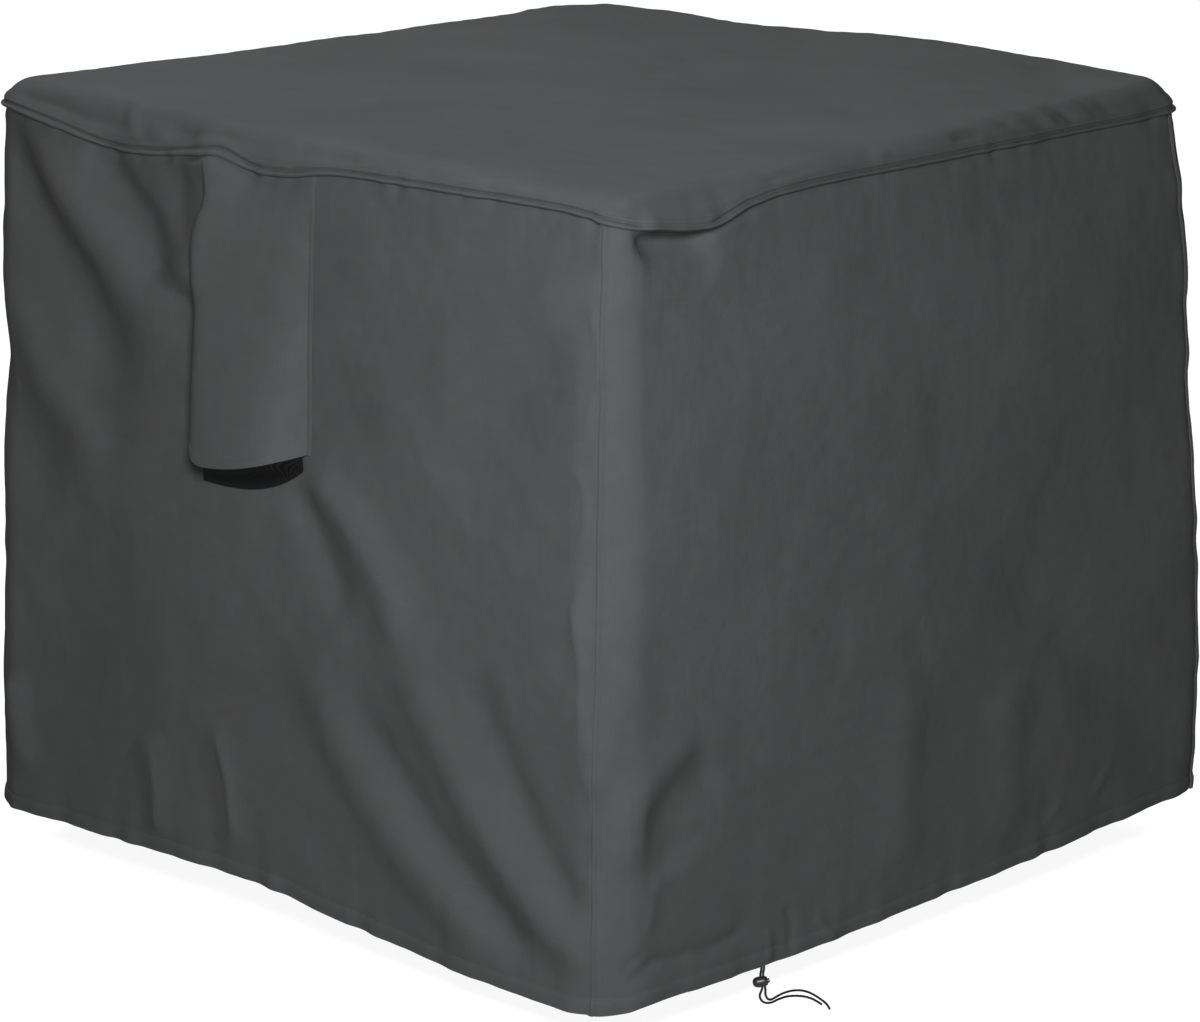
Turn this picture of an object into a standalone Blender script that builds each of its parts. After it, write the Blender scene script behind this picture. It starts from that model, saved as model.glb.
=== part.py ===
"""A fitted square cover for a patio bar set, modelled as the draped cloth that it is.

The top panel rolls down over the rim to a lapped seam. Four side panels hang from that seam, lap over
each other at an upright seam just before every corner, and end in a hem tunnel. The front panel carries
a hooded air vent. Both ends of the hem's drawcord come out under the right panel and run through a
spring cord lock.

Metres, +Z up. The origin is the underside of the top at its centre. The front panel faces -Y and the
right panel faces +X.

A place on the cover is given by two numbers. "around" counts sides from the left corner (-X, -Y), so
0 to 1 is the front, 1 to 2 the right side, 2 to 3 the back and 3 to 4 the left side. "below" is the
distance down the cloth from the top seam, and it is negative on the rim and the top.
"""

import math
from collections import namedtuple

import bpy
import numpy as np
from mathutils import Matrix, Vector

# ---- Cut of the cover ----
WIDTH = 1.144  # each side of the square, at the top seam
RIM_RADIUS = 0.034  # the roll from the flat top down to the seam
SKIRT = 0.979  # from the seam down to the hem
FLARE = 0.037  # how much further out each side stands at the hem than at the seam
SEAM_CORNER = 0.040  # corner radius in plan, at the seam
HEM_CORNER = 0.072  # corner radius in plan, at the hem
CORNER_SEAM = 0.026  # the upright seams lie this far before each corner, in sides

# ---- Cloth ----
CLOTH = 0.0020
HEM_CLOTH = 0.0036  # the hem tunnel is turned up, so it is thicker
HEM_TUNNEL = 0.020
GAP = 0.0003  # between two pieces that touch
LAP = 0.012  # how far one panel laps over the next

# ---- Drawcord and its lock ----
CORD_AROUND = 1.231  # where the drawcord leaves the hem
CORD = 0.0030
LOCK_DROP = 0.0214  # from the hem down to the middle of the lock
FLOOR_DROP = 0.0506  # from the hem down to the surface that the tails lie on
LOCK_HEADING = math.radians(44)  # the way the button points, from +X towards +Y
LOCK_TILT = math.radians(10)

RIM_ARC = RIM_RADIUS * math.pi / 2
TOP_EDGE = WIDTH / 2 - RIM_RADIUS  # half the side of the flat top
LAP_AROUND = LAP / WIDTH

# ---- Unevenness of the drape ----
# Each corner stands off the true square: x and y are its signs, then metres in X, Y and Z at the seam
# and at the hem, and how far the cloth bellies out between them.
Corner = namedtuple("Corner", "x y at_seam at_hem belly")
CORNERS = (
    Corner(-1, -1, (-0.0065, -0.0063, 0.010), (-0.0010, -0.0010, 0.006), 0.000),
    Corner(1, -1, (0.0090, 0.0090, -0.003), (-0.0027, -0.0026, -0.007), 0.000),
    Corner(1, 1, (-0.0150, -0.0150, 0.000), (-0.0006, -0.0006, 0.012), 0.0155),
    Corner(-1, 1, (0.0099, 0.0095, -0.006), (0.0000, 0.0000, 0.000), 0.006),
)

# How much lower than level the top seam and the hem hang, at places around the cover.
Level = namedtuple("Level", "around drop")
SEAM_LINE = (
    Level(0.03, 0.000),
    Level(0.11, 0.012),
    Level(0.20, 0.028),
    Level(0.28, 0.024),
    Level(0.36, 0.010),
    Level(0.40, 0.004),
    Level(0.45, 0.018),
    Level(0.51, 0.015),
    Level(0.58, 0.002),
    Level(0.74, -0.005),
    Level(0.91, -0.011),
    Level(0.98, -0.006),
    Level(1.03, 0.004),
    Level(1.13, 0.020),
    Level(1.20, 0.003),
    Level(1.30, -0.005),
    Level(1.55, -0.001),
    Level(1.90, 0.004),
    Level(2.10, 0.000),
    Level(2.35, 0.008),
    Level(2.60, -0.003),
    Level(3.05, 0.000),
    Level(3.40, 0.007),
    Level(3.75, -0.002),
)
HEM_LINE = (
    Level(0.04, 0.003),
    Level(0.20, -0.007),
    Level(0.44, -0.019),
    Level(0.62, -0.008),
    Level(0.80, 0.003),
    Level(1.00, 0.000),
    Level(1.07, -0.006),
    Level(1.27, 0.003),
    Level(1.65, 0.001),
    Level(1.95, -0.005),
    Level(2.50, 0.004),
    Level(3.05, 0.000),
    Level(3.50, 0.005),
)

# Long folds. The path is in (around, below). The half width goes from the first value to the second
# along the path. Height is outward, so a negative one is a valley.
Fold = namedtuple("Fold", "path start_width end_width height")
FOLDS = (
    # front: three ridges and their hollows, which fan out from the left corner
    Fold(((0.03, 0.010), (0.10, 0.082), (0.17, 0.152), (0.24, 0.215), (0.33, 0.300)), 0.026, 0.045, 0.011),
    Fold(((0.01, 0.036), (0.07, 0.112), (0.14, 0.190), (0.21, 0.262), (0.28, 0.370)), 0.024, 0.045, -0.011),
    Fold(((0.03, 0.212), (0.07, 0.285), (0.12, 0.355), (0.20, 0.435)), 0.028, 0.040, 0.008),
    Fold(((0.00, 0.240), (0.05, 0.335), (0.10, 0.405), (0.18, 0.485)), 0.028, 0.040, -0.008),
    Fold(((0.21, 0.010), (0.25, 0.058), (0.29, 0.095), (0.34, 0.125)), 0.024, 0.028, -0.007),
    Fold(((0.32, 0.010), (0.34, 0.060), (0.35, 0.110)), 0.022, 0.022, -0.005),
    # front: folds that run from below the vent down to the front corner
    Fold(((0.57, 0.605), (0.63, 0.695), (0.69, 0.780), (0.77, 0.846), (0.89, 0.925)), 0.032, 0.030, 0.014),
    Fold(((0.63, 0.670), (0.71, 0.738), (0.79, 0.812), (0.90, 0.908), (0.98, 0.965)), 0.026, 0.026, -0.013),
    Fold(((0.70, 0.540), (0.80, 0.688), (0.88, 0.805), (0.97, 0.892)), 0.036, 0.028, 0.011),
    Fold(((0.82, 0.590), (0.90, 0.720), (0.97, 0.830)), 0.036, 0.026, -0.009),
    Fold(((0.53, 0.385), (0.60, 0.425), (0.67, 0.490), (0.72, 0.560)), 0.028, 0.032, 0.009),
    Fold(((0.52, 0.410), (0.57, 0.500), (0.61, 0.570)), 0.026, 0.030, -0.008),
    # front: the broad band that falls from the front corner, the hollow under it, and the corner's fold
    Fold(((0.97, 0.035), (0.81, 0.143), (0.70, 0.205), (0.60, 0.272)), 0.034, 0.060, 0.009),
    Fold(((0.93, 0.140), (0.83, 0.225), (0.72, 0.320)), 0.040, 0.070, -0.007),
    Fold(((0.96, 0.150), (0.94, 0.330), (0.93, 0.480), (0.95, 0.600), (0.98, 0.690)), 0.026, 0.026, -0.005),
    # front: short folds that stand on the hem
    Fold(((0.07, 0.790), (0.08, 0.840), (0.10, 0.910)), 0.026, 0.026, 0.006),
    Fold(((0.29, 0.810), (0.305, 0.880), (0.31, 0.960)), 0.026, 0.026, 0.005),
    Fold(((0.40, 0.760), (0.42, 0.850), (0.435, 0.950)), 0.026, 0.026, 0.005),
    # right: tuck under the seam, the bent crease by the front corner and the soft folds beyond it
    Fold(((1.03, 0.030), (1.09, 0.032), (1.16, 0.040)), 0.024, 0.020, -0.007),
    Fold(((1.12, 0.640), (1.075, 0.675), (1.04, 0.710), (1.035, 0.770), (1.04, 0.860)), 0.026, 0.026, 0.006),
    Fold(((1.15, 0.680), (1.10, 0.705), (1.07, 0.740), (1.07, 0.790), (1.075, 0.880)), 0.026, 0.028, -0.009),
    Fold(((1.02, 0.945), (1.07, 0.927), (1.14, 0.932), (1.21, 0.921)), 0.024, 0.024, -0.005),
    Fold(((1.45, 0.640), (1.45, 0.780), (1.445, 0.930)), 0.035, 0.040, 0.006),
    Fold(((1.62, 0.700), (1.62, 0.820), (1.615, 0.950)), 0.035, 0.040, 0.006),
    Fold(((1.60, 0.520), (1.76, 0.720), (1.93, 0.930)), 0.050, 0.060, -0.008),
    # back
    Fold(((2.03, 0.010), (2.14, 0.120), (2.26, 0.280), (2.34, 0.420)), 0.035, 0.055, 0.010),
    Fold(((2.06, 0.090), (2.14, 0.220), (2.22, 0.380)), 0.035, 0.050, -0.009),
    Fold(((2.96, 0.030), (2.84, 0.190), (2.74, 0.370), (2.68, 0.520)), 0.035, 0.055, 0.010),
    Fold(((2.55, 0.600), (2.66, 0.740), (2.82, 0.880), (2.95, 0.950)), 0.045, 0.045, -0.010),
    Fold(((2.30, 0.700), (2.32, 0.820), (2.33, 0.950)), 0.045, 0.045, 0.008),
    # left
    Fold(((3.95, 0.020), (3.83, 0.150), (3.70, 0.330), (3.62, 0.500)), 0.035, 0.055, 0.011),
    Fold(((3.93, 0.140), (3.84, 0.290), (3.77, 0.450)), 0.035, 0.050, -0.009),
    Fold(((3.04, 0.040), (3.16, 0.200), (3.25, 0.380)), 0.035, 0.050, 0.009),
    Fold(((3.35, 0.560), (3.22, 0.720), (3.08, 0.880)), 0.045, 0.045, -0.010),
    Fold(((3.58, 0.720), (3.57, 0.840), (3.56, 0.950)), 0.045, 0.045, 0.008),
)

# Broad swellings and hollows: the middle, the reach and the height. On the sides the middle is
# (around, below) and the reach is in sides and metres. On the top both are in (X, Y).
Swell = namedtuple("Swell", "middle reach height")
SWELLS = (
    Swell((0.86, 0.48), (0.12, 0.20), -0.008),
    Swell((0.08, 0.62), (0.11, 0.16), -0.006),
    Swell((0.33, 0.64), (0.20, 0.20), 0.006),
    Swell((1.45, 0.42), (0.35, 0.34), 0.010),
    Swell((2.50, 0.45), (0.32, 0.32), -0.008),
    Swell((3.45, 0.50), (0.30, 0.32), -0.008),
)
TOP_SWELLS = (
    Swell((0.24, 0.54), (0.30, 0.18), 0.014),
    Swell((-0.15, -0.10), (0.30, 0.30), -0.003),
)
TOP_FOLDS = (
    Fold(((-0.52, -0.27), (-0.40, -0.40), (-0.25, -0.52)), 0.035, 0.040, -0.004),
    Fold(((0.36, 0.53), (0.44, 0.45), (0.53, 0.34)), 0.035, 0.040, -0.004),
    Fold(((-0.10, 0.53), (-0.02, 0.42), (0.02, 0.30)), 0.040, 0.050, -0.003),
)

# ---- Air vent on the front panel ----
VENT_LEFT, VENT_RIGHT = 0.366, 0.546  # the hood's side edges, around the cover
VENT_FLANGE = 0.007  # the strip down each side that is sewn flat, in sides
VENT_BOTTOM = 0.404  # the hood's lower edge, where it is sewn to the panel
VENT_BULGE = 0.048
VENT_SLANT = 0.036  # how much higher the hood's free edge is on the right
MESH_CLOTH = 0.0010
MESH_RISE = 0.012  # the mesh is tucked this far up inside the hood
MESH_DROP = 0.033  # and it meets the panel this far below the hood's edge on the left
MESH_SLANT = 0.045  # how much higher it meets the panel on the right
# Columns of the hood between its flanges, as shares of its width. They crowd at the steep sides.
VENT_SHARES = (0.0, 0.04, 0.10, 0.22, 0.40, 0.60, 0.78, 0.90, 0.96, 1.0)

# ---- Cord lock, in its own frame: X along the barrel to the button, Z along the cords ----
BARREL_RADIUS = 0.0070
BARREL_BACK = -0.0130
BARREL_MOUTH = 0.0060
BARREL_WAIST = -0.0035  # where the barrel is thickest
BARREL_SQUARENESS = 2.6
BORE_RADIUS = 0.0038
BORE_BOTTOM = -0.0092
STEM_RADIUS = 0.0035
STEM_BACK = -0.0062
BUTTON_RADIUS = 0.0031
BUTTON_END = 0.0090
PLUNGER_TRAVEL = 0.0024
CORD_PITCH = 0.0034  # between the two cords' middles where they pass through the lock
LATHE_STEPS = 20

# ---- Resolution ----
FRONT_LEFT_COLUMNS, FRONT_RIGHT_COLUMNS = 8, 11  # either side of the vent
RIGHT_COLUMNS, HIDDEN_COLUMNS = 22, 8
ROWS_BESIDE_VENT, ROWS_BELOW_VENT = 11, 15
TOP_RINGS = (0.35, 0.70)  # shares of the way from the centre to the edge of the flat top
PATH_STEPS = 8


# ---- The cover's surface ----


def smooth_path(points, steps):
    """A smooth curve through the points, returned as points along it."""
    knots = np.array(points, float)
    padded = np.vstack([2 * knots[0] - knots[1], knots, 2 * knots[-1] - knots[-2]])
    share = np.linspace(0, 1, steps, endpoint=False)[:, None]
    runs = []
    for before, start, end, after in zip(padded, padded[1:], padded[2:], padded[3:]):
        linear = (end - before) * share
        square = (2 * before - 5 * start + 4 * end - after) * share**2
        cube = (3 * start - before - 3 * end + after) * share**3
        runs.append(start + (linear + square + cube) / 2)
    return np.vstack(runs + [knots[-1:]])


def ease(low, high, value):
    """0 below low, 1 above high, and a smooth rise between."""
    share = np.clip((value - low) / (high - low), 0, 1)
    return share * share * (3 - 2 * share)


def fold_height(fold, points, scale):
    """Height of one fold at each point. The scale turns the points and the path into metres."""
    path = smooth_path(fold.path, PATH_STEPS) * scale
    starts, runs = path[:-1], np.diff(path, axis=0)
    lengths = np.linalg.norm(runs, axis=1)
    apart = (points * scale)[:, None] - starts
    share = np.clip((apart * runs).sum(2) / lengths**2, 0, 1)
    distance = np.linalg.norm(apart - share[..., None] * runs, axis=2)
    nearest = (np.arange(len(points)), distance.argmin(1))
    reached = np.append(0, lengths.cumsum())[nearest[1]] + share[nearest] * lengths[nearest[1]]
    along = reached / lengths.sum()
    width = fold.start_width + (fold.end_width - fold.start_width) * along
    fade = ease(0, 0.25, along + 0.05) * ease(0, 0.25, 1.05 - along)
    return fold.height * fade * np.exp(-((distance[nearest] / width) ** 2))


def swell_height(swell, across, along):
    sideways = (across - swell.middle[0]) / swell.reach[0]
    lengthways = (along - swell.middle[1]) / swell.reach[1]
    return swell.height * np.exp(-(sideways**2) - lengthways**2)


def nearest_turn(around, middle):
    """The same place around the cover, counted so that it lies within two sides of the middle."""
    return (around - middle + 2) % 4 - 2 + middle


def side_relief(around, below):
    """How far the folds and swellings lift the sides outward."""
    height = np.zeros(around.shape)
    for fold in FOLDS:
        middle = np.mean(fold.path, axis=0)[0]
        spots = np.stack([nearest_turn(around, middle), below], axis=-1).reshape(-1, 2)
        height += fold_height(fold, spots, (WIDTH, 1)).reshape(around.shape)
    for swell in SWELLS:
        height += swell_height(swell, nearest_turn(around, swell.middle[0]), below)
    return height * ease(-RIM_ARC, 0, below)


def drop_along(around, levels):
    """The drop between the levels of a table, going once around the cover."""
    path = smooth_path(levels, PATH_STEPS)
    return np.interp(around % 4, path[:, 0], path[:, 1], period=4)


def line_drop(around, below):
    """How much lower the cloth hangs because its top seam and its hem aren't level."""
    near_seam = ease(-RIM_ARC, 0, below) * (1 - ease(0.0, 0.30, below))
    near_hem = ease(0.45, 1.0, below / SKIRT)
    return drop_along(around, SEAM_LINE) * near_seam + drop_along(around, HEM_LINE) * near_hem


def corner_shift(x, y, half, below):
    """The displacement that the four uneven corners give to points at x, y."""
    across, along = np.clip(x / half, -1, 1), np.clip(y / half, -1, 1)
    edge = np.maximum(abs(across), abs(along)) ** 2 * np.clip(half / TOP_EDGE, 0, 1) ** 2
    down = np.clip(below / SKIRT, 0, 1)[..., None]
    total = np.zeros(x.shape + (3,))
    for corner in CORNERS:
        weight = edge * (1 + corner.x * across) * (1 + corner.y * along) / 4
        shift = np.array(corner.at_seam) * (1 - down) + np.array(corner.at_hem) * down
        outward = np.array([corner.x, corner.y, 0]) * corner.belly / math.sqrt(2)
        total += weight[..., None] * (shift + outward * (1 - (2 * down - 1) ** 4))
    return total


def rounded_square(around, half, radius):
    """X, Y and the outward normal's X, Y on a square with rounded corners."""
    side = np.floor(around)
    along = (around - side) * 2 * half
    to_corner = np.minimum(along, 2 * half - along)
    turn = np.clip(1 - to_corner / radius, 0, 1) * math.pi / 4
    toward = np.where(along < half, -1, 1)
    bent = turn > 0
    u = np.where(bent, toward * (half - radius + radius * np.sin(turn)), along - half)
    v = np.where(bent, half - radius + radius * np.cos(turn), half)
    cosine, sine = np.cos(side * math.pi / 2), np.sin(side * math.pi / 2)
    normal_u, normal_v = toward * np.sin(turn), np.cos(turn)
    return (
        u * cosine + v * sine,
        u * sine - v * cosine,
        normal_u * cosine + normal_v * sine,
        normal_u * sine - normal_v * cosine,
    )


def cover_surface(around, below):
    """Points on the middle of the cloth, and the outward directions in which its layers are stacked."""
    around, below = np.broadcast_arrays(np.asarray(around, float), np.asarray(below, float))
    roll = np.clip(-below / RIM_RADIUS, 0, math.pi / 2)
    flat = np.clip(-below - RIM_ARC, 0, None)
    down = np.clip(below, 0, None)
    inset = RIM_RADIUS * (1 - np.cos(roll)) + flat - FLARE * down / SKIRT
    half = WIDTH / 2 - inset
    radius = SEAM_CORNER + (HEM_CORNER - SEAM_CORNER) * down / SKIRT
    radius = np.where(roll > 0, SEAM_CORNER - 0.7 * RIM_RADIUS * (1 - np.cos(roll)), radius)
    radius = radius * np.clip(half / TOP_EDGE, 0, 1)
    x, y, normal_x, normal_y = rounded_square(around, half, radius)
    z = CLOTH / 2 - RIM_RADIUS * (1 - np.sin(roll)) - down
    points = np.stack([x, y, z - line_drop(around, below)], axis=-1)
    outward = np.stack([normal_x * np.cos(roll), normal_y * np.cos(roll), np.sin(roll)], axis=-1)
    points += outward * side_relief(around, below)[..., None]
    flatness = ease(0.3 * RIM_ARC, RIM_ARC, -below)
    spots = np.stack([x, y], axis=-1).reshape(-1, 2)
    for fold in TOP_FOLDS:
        points[..., 2] += flatness * fold_height(fold, spots, 1).reshape(x.shape)
    for swell in TOP_SWELLS:
        points[..., 2] += flatness * swell_height(swell, x, y)
    return points + corner_shift(x, y, half, below), outward


# ---- Lines along which the panels are cut and meshed ----


def vent_columns():
    """Around values of the hood's columns: its flanges and what stands off between them."""
    inner = VENT_LEFT + VENT_FLANGE + np.array(VENT_SHARES) * (VENT_RIGHT - VENT_LEFT - 2 * VENT_FLANGE)
    return [VENT_LEFT, *inner, VENT_RIGHT]


def side_columns(side):
    """Around values of one side's columns, from its first seam to just before the next one."""
    start, end = side + 0.045, side + 0.95
    if side == 0:
        middle = [
            *np.linspace(start, VENT_LEFT, FRONT_LEFT_COLUMNS, endpoint=False),
            *vent_columns(),
            *np.linspace(VENT_RIGHT, end, FRONT_RIGHT_COLUMNS + 1)[1:],
        ]
    else:
        middle = np.linspace(start, end, (RIGHT_COLUMNS if side == 1 else HIDDEN_COLUMNS) + 1)
    seam = side - CORNER_SEAM
    return [seam, seam + LAP_AROUND, side, side + 0.02, *middle]


SIDES = ("front", "right", "back", "left")
COLUMNS = [side_columns(side) for side in range(4)]
ROWS = [
    -LAP,
    *np.linspace(0, VENT_BOTTOM, ROWS_BESIDE_VENT, endpoint=False),
    VENT_BOTTOM,
    *np.linspace(VENT_BOTTOM, SKIRT - HEM_TUNNEL, ROWS_BELOW_VENT + 1)[1:],
    SKIRT - HEM_TUNNEL + 0.003,
    SKIRT,
]


# ---- Making objects ----


def material(name, color, roughness, metallic=0.0):
    made = bpy.data.materials.new(name)
    made.use_nodes = True
    shader = made.node_tree.nodes["Principled BSDF"]
    shader.inputs["Base Color"].default_value = (*color, 1)
    shader.inputs["Roughness"].default_value = roughness
    shader.inputs["Metallic"].default_value = metallic
    return made


def mesh_object(name, points, faces, finish):
    mesh = bpy.data.meshes.new(name)
    mesh.from_pydata([tuple(point) for point in points], [], faces)
    mesh.materials.append(finish)
    mesh.shade_smooth()
    mesh.set_sharp_from_angle(angle=math.radians(40))
    made = bpy.data.objects.new(name, mesh)
    bpy.context.scene.collection.objects.link(made)
    return made


def split_quads(index):
    """Two triangles for each cell of a grid of vertex numbers, all split the same way."""
    above, below = index[:-1], index[1:]
    first = np.stack([above[:, :-1], below[:, :-1], below[:, 1:]], axis=-1).reshape(-1, 3)
    second = np.stack([above[:, :-1], below[:, 1:], above[:, 1:]], axis=-1).reshape(-1, 3)
    return np.concatenate([first, second]).tolist()


def sheet(name, points, outward, thickness, finish, joined=False, centre=None):
    """A solid sheet about a grid of middle points, rows running down and columns around.

    A joined sheet closes on itself around the cover. A centre closes its first row to one point.
    """
    rows, columns = points.shape[:2]
    half = outward * np.broadcast_to(np.asarray(thickness), (rows, columns))[..., None] / 2
    vertices = np.concatenate([(points + half).reshape(-1, 3), (points - half).reshape(-1, 3)])
    outer = np.arange(rows * columns).reshape(rows, columns)
    if joined:
        outer = np.hstack([outer, outer[:, :1]])
    inner = outer + rows * columns
    faces = split_quads(outer) + [face[::-1] for face in split_quads(inner)]
    edges = [outer[-1]] if joined else [np.concatenate([outer[:, 0], outer[-1, 1:]])]
    if not joined:
        edges.append(np.concatenate([outer[::-1, -1], outer[0, ::-1][1:]]))
    for edge in edges:
        for start, end in zip(edge, edge[1:]):
            faces.append([int(v) for v in (start, start + rows * columns, end + rows * columns, end)])
    if centre is not None:
        lift = np.array([0, 0, np.max(thickness) / 2])
        vertices = np.vstack([vertices, centre + lift, centre - lift])
        top, bottom = len(vertices) - 2, len(vertices) - 1
        for start, end in zip(outer[0], outer[0, 1:]):
            faces.append([int(end), top, int(start)])
            faces.append([int(start) + rows * columns, bottom, int(end) + rows * columns])
    return mesh_object(name, vertices, faces, finish)


# ---- Cloth pieces ----


def lap_over_corner(around):
    """1 where a side panel lies over the one before it, falling to 0 past the corner."""
    place = nearest_turn(around, 2) % 1
    before = np.where(place > 0.5, place - 1, place)
    return np.where(before > -CORNER_SEAM - 1e-6, 1 - ease(LAP_AROUND - CORNER_SEAM, 0.02, before), 0)


def side_panel(side, finish):
    """A side panel, from its own upright seam to just past the next, where the next one covers it."""
    next_seam = side + 1 - CORNER_SEAM
    around, below = np.meshgrid([*COLUMNS[side], next_seam, next_seam + LAP_AROUND], ROWS)
    points, outward = cover_surface(around, below)
    thickness = np.where(below > SKIRT - HEM_TUNNEL + 1e-6, HEM_CLOTH, CLOTH)
    own = np.where(around < side + 0.5, lap_over_corner(around), 0)
    points = points + outward * (own * (thickness + GAP))[..., None]
    return sheet(SIDES[side] + "_panel", points, outward, thickness, finish)


def top_panel(finish):
    """The top, its rim and the lip that laps over the side panels, the hood and the corner seams."""
    around = np.concatenate(COLUMNS)
    rings = [-RIM_ARC - (1 - share) * TOP_EDGE for share in TOP_RINGS]
    rows = [*rings, -RIM_ARC, -0.75 * RIM_ARC, -0.5 * RIM_ARC, -2 * LAP, -LAP, 0]
    around, below = np.meshgrid(around, rows)
    points, outward = cover_surface(around, below)
    place = (around + 0.5) % 1 - 0.5
    over_corner = np.where(place < -CORNER_SEAM, ease(-0.05, -CORNER_SEAM, place), lap_over_corner(around))
    over_hood = ease(VENT_LEFT - 0.03, VENT_LEFT, around) * (1 - ease(VENT_RIGHT, VENT_RIGHT + 0.03, around))
    layers = (1 + over_corner + over_hood) * ease(-2 * LAP, -LAP, below)
    points = points + outward * (layers * (CLOTH + GAP))[..., None]
    return sheet(
        "top_panel", points, outward, CLOTH, finish, joined=True, centre=np.array([0, 0, CLOTH / 2])
    )


def hood_arch(share):
    """The hood's outline across its width: steep at both sides and nearly flat between."""
    return (1 - abs(2 * share - 1) ** 12) * (0.85 + 0.15 * (1 - (2 * share - 1) ** 2))


def hood_stand(share, down):
    """How far the hood stands off the panel, at a share of its width and of its height."""
    left, right = ease(0.05, 0.45, down), np.clip(down, 0, 1) ** 1.2
    return VENT_BULGE * hood_arch(share) * (left + (right - left) * share)


def across_hood(around):
    inner_left, inner_right = VENT_LEFT + VENT_FLANGE, VENT_RIGHT - VENT_FLANGE
    return np.clip((around - inner_left) / (inner_right - inner_left), 0, 1)


def grid_normals(points):
    """Outward normals of a grid of points whose rows run down and whose columns run around."""
    down, across = np.gradient(points, axis=0), np.gradient(points, axis=1)
    normals = np.cross(down, across)
    return normals / np.linalg.norm(normals, axis=-1, keepdims=True)


def vent_hood(finish):
    """The hood: sewn into the seam and down both sides, and standing off the panel at its mouth."""
    rows = [row for row in ROWS if row <= VENT_BOTTOM + 1e-6]
    around, below = np.meshgrid(vent_columns(), rows)
    share, down = across_hood(around), np.clip(below / VENT_BOTTOM, 0, 1)
    raised = below - VENT_SLANT * share * hood_arch(share) * down
    points, outward = cover_surface(around, raised)
    points = points + outward * (CLOTH + GAP + hood_stand(share, down))[..., None]
    normals = grid_normals(points)
    normals[:2] = outward[:2]
    normals[:, [0, -1]] = outward[:, [0, -1]]
    return sheet("vent_hood", points, normals, CLOTH, finish)


def vent_mesh(finish):
    """Dark mesh from just inside the hood's lower edge down to the panel below it."""
    columns = np.array(vent_columns()[1:-1])
    share = across_hood(0.97 * columns[1:-1] + 0.03 * columns.mean())
    around = np.interp(share, [0, 1], columns[[0, -1]])
    shares = across_hood(columns)
    inside = np.interp(share, shares, hood_stand(shares, 1.0)) - 0.6 * CLOTH
    edge = VENT_BOTTOM - VENT_SLANT * share * hood_arch(share)
    foot = VENT_BOTTOM + MESH_DROP - MESH_SLANT * share**2
    rows = []
    for down in (0.0, 0.25, 0.5, 0.75, 1.0):
        below = (edge - MESH_RISE) + (foot - edge + MESH_RISE) * down
        stand = inside + (CLOTH - inside) * ease(0.15, 1.0, down)
        spots, outward = cover_surface(around, below)
        rows.append(spots + outward * stand[:, None])
    points = np.array(rows)
    return sheet("vent_mesh", points, grid_normals(points), MESH_CLOTH, finish)


# ---- Drawcord and lock ----


def lock_frame():
    """The empty that carries the lock: X along the barrel to the button, Z up along the cords."""
    exit_point = cover_surface(CORD_AROUND, SKIRT)[0]
    centre = Vector(exit_point) - Vector((0, 0, LOCK_DROP))
    turn = Matrix.Rotation(LOCK_HEADING, 4, "Z") @ Matrix.Rotation(-LOCK_TILT, 4, "Y")
    frame = bpy.data.objects.new("lock_frame", None)
    frame.matrix_world = Matrix.Translation(centre) @ turn
    frame.empty_display_size = 0.02
    bpy.context.scene.collection.objects.link(frame)
    return frame


# Routes of the two tails from the hem to their free ends, in millimetres: to the right along the
# lock's heading, away from a viewer who faces the front corner, and up from the middle of the lock.
ON_FLOOR = 1000 * (LOCK_DROP - FLOOR_DROP + CORD / 2)
TAILS = {
    "drawcord_a": (
        (-1.7, -1.7, 21.1),
        (-2.1, -1.2, 15.5),
        (-2.9, -0.3, 10.5),
        (-2.9, 0.0, 6.6),
        (-1.7, 0.0, -0.3),
        (-0.5, 0.0, -7.2),
        (-1.0, -0.1, -11.0),
        (-2.8, -0.4, -15.5),
        (-3.6, -0.8, -19.5),
        (-2.2, -1.6, -23.9),
        (1.6, -3.0, -27.0),
        (7.0, -4.0, ON_FLOOR),
        (13.0, -0.5, ON_FLOOR),
        (20.0, 8.5, ON_FLOOR),
        (31.0, 18.5, ON_FLOOR),
        (42.6, 21.5, ON_FLOOR),
        (54.2, 18.8, ON_FLOOR),
        (63.2, 11.4, ON_FLOOR),
        (69.6, 1.5, ON_FLOOR),
        (74.7, -8.4, ON_FLOOR),
    ),
    "drawcord_b": (
        (1.7, 1.7, 21.1),
        (1.3, 1.2, 15.5),
        (0.5, 0.3, 10.5),
        (0.5, 0.0, 7.2),
        (1.7, 0.0, 0.3),
        (2.9, 0.0, -6.6),
        (3.5, 0.3, -11.0),
        (3.6, 1.0, -16.0),
        (4.6, 2.0, -21.0),
        (7.4, 4.0, -25.6),
        (11.6, 8.6, ON_FLOOR),
        (17.5, 17.0, ON_FLOOR),
        (27.2, 30.5, ON_FLOOR),
        (39.0, 39.5, ON_FLOOR),
        (50.3, 40.7, ON_FLOOR),
        (60.6, 33.7, ON_FLOOR),
        (69.6, 19.5, ON_FLOOR),
        (76.5, 5.0, ON_FLOOR),
        (81.3, -8.0, ON_FLOOR),
        (84.3, -24.0, ON_FLOOR),
    ),
}


def evenly_spaced(path, spacing):
    """Points at equal distances along a fine path, its two ends among them."""
    reached = np.append(0, np.linalg.norm(np.diff(path, axis=0), axis=1).cumsum())
    wanted = np.linspace(0, reached[-1], round(reached[-1] / spacing) + 1)
    return np.stack([np.interp(wanted, reached, path[:, axis]) for axis in range(3)], axis=-1)


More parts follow.
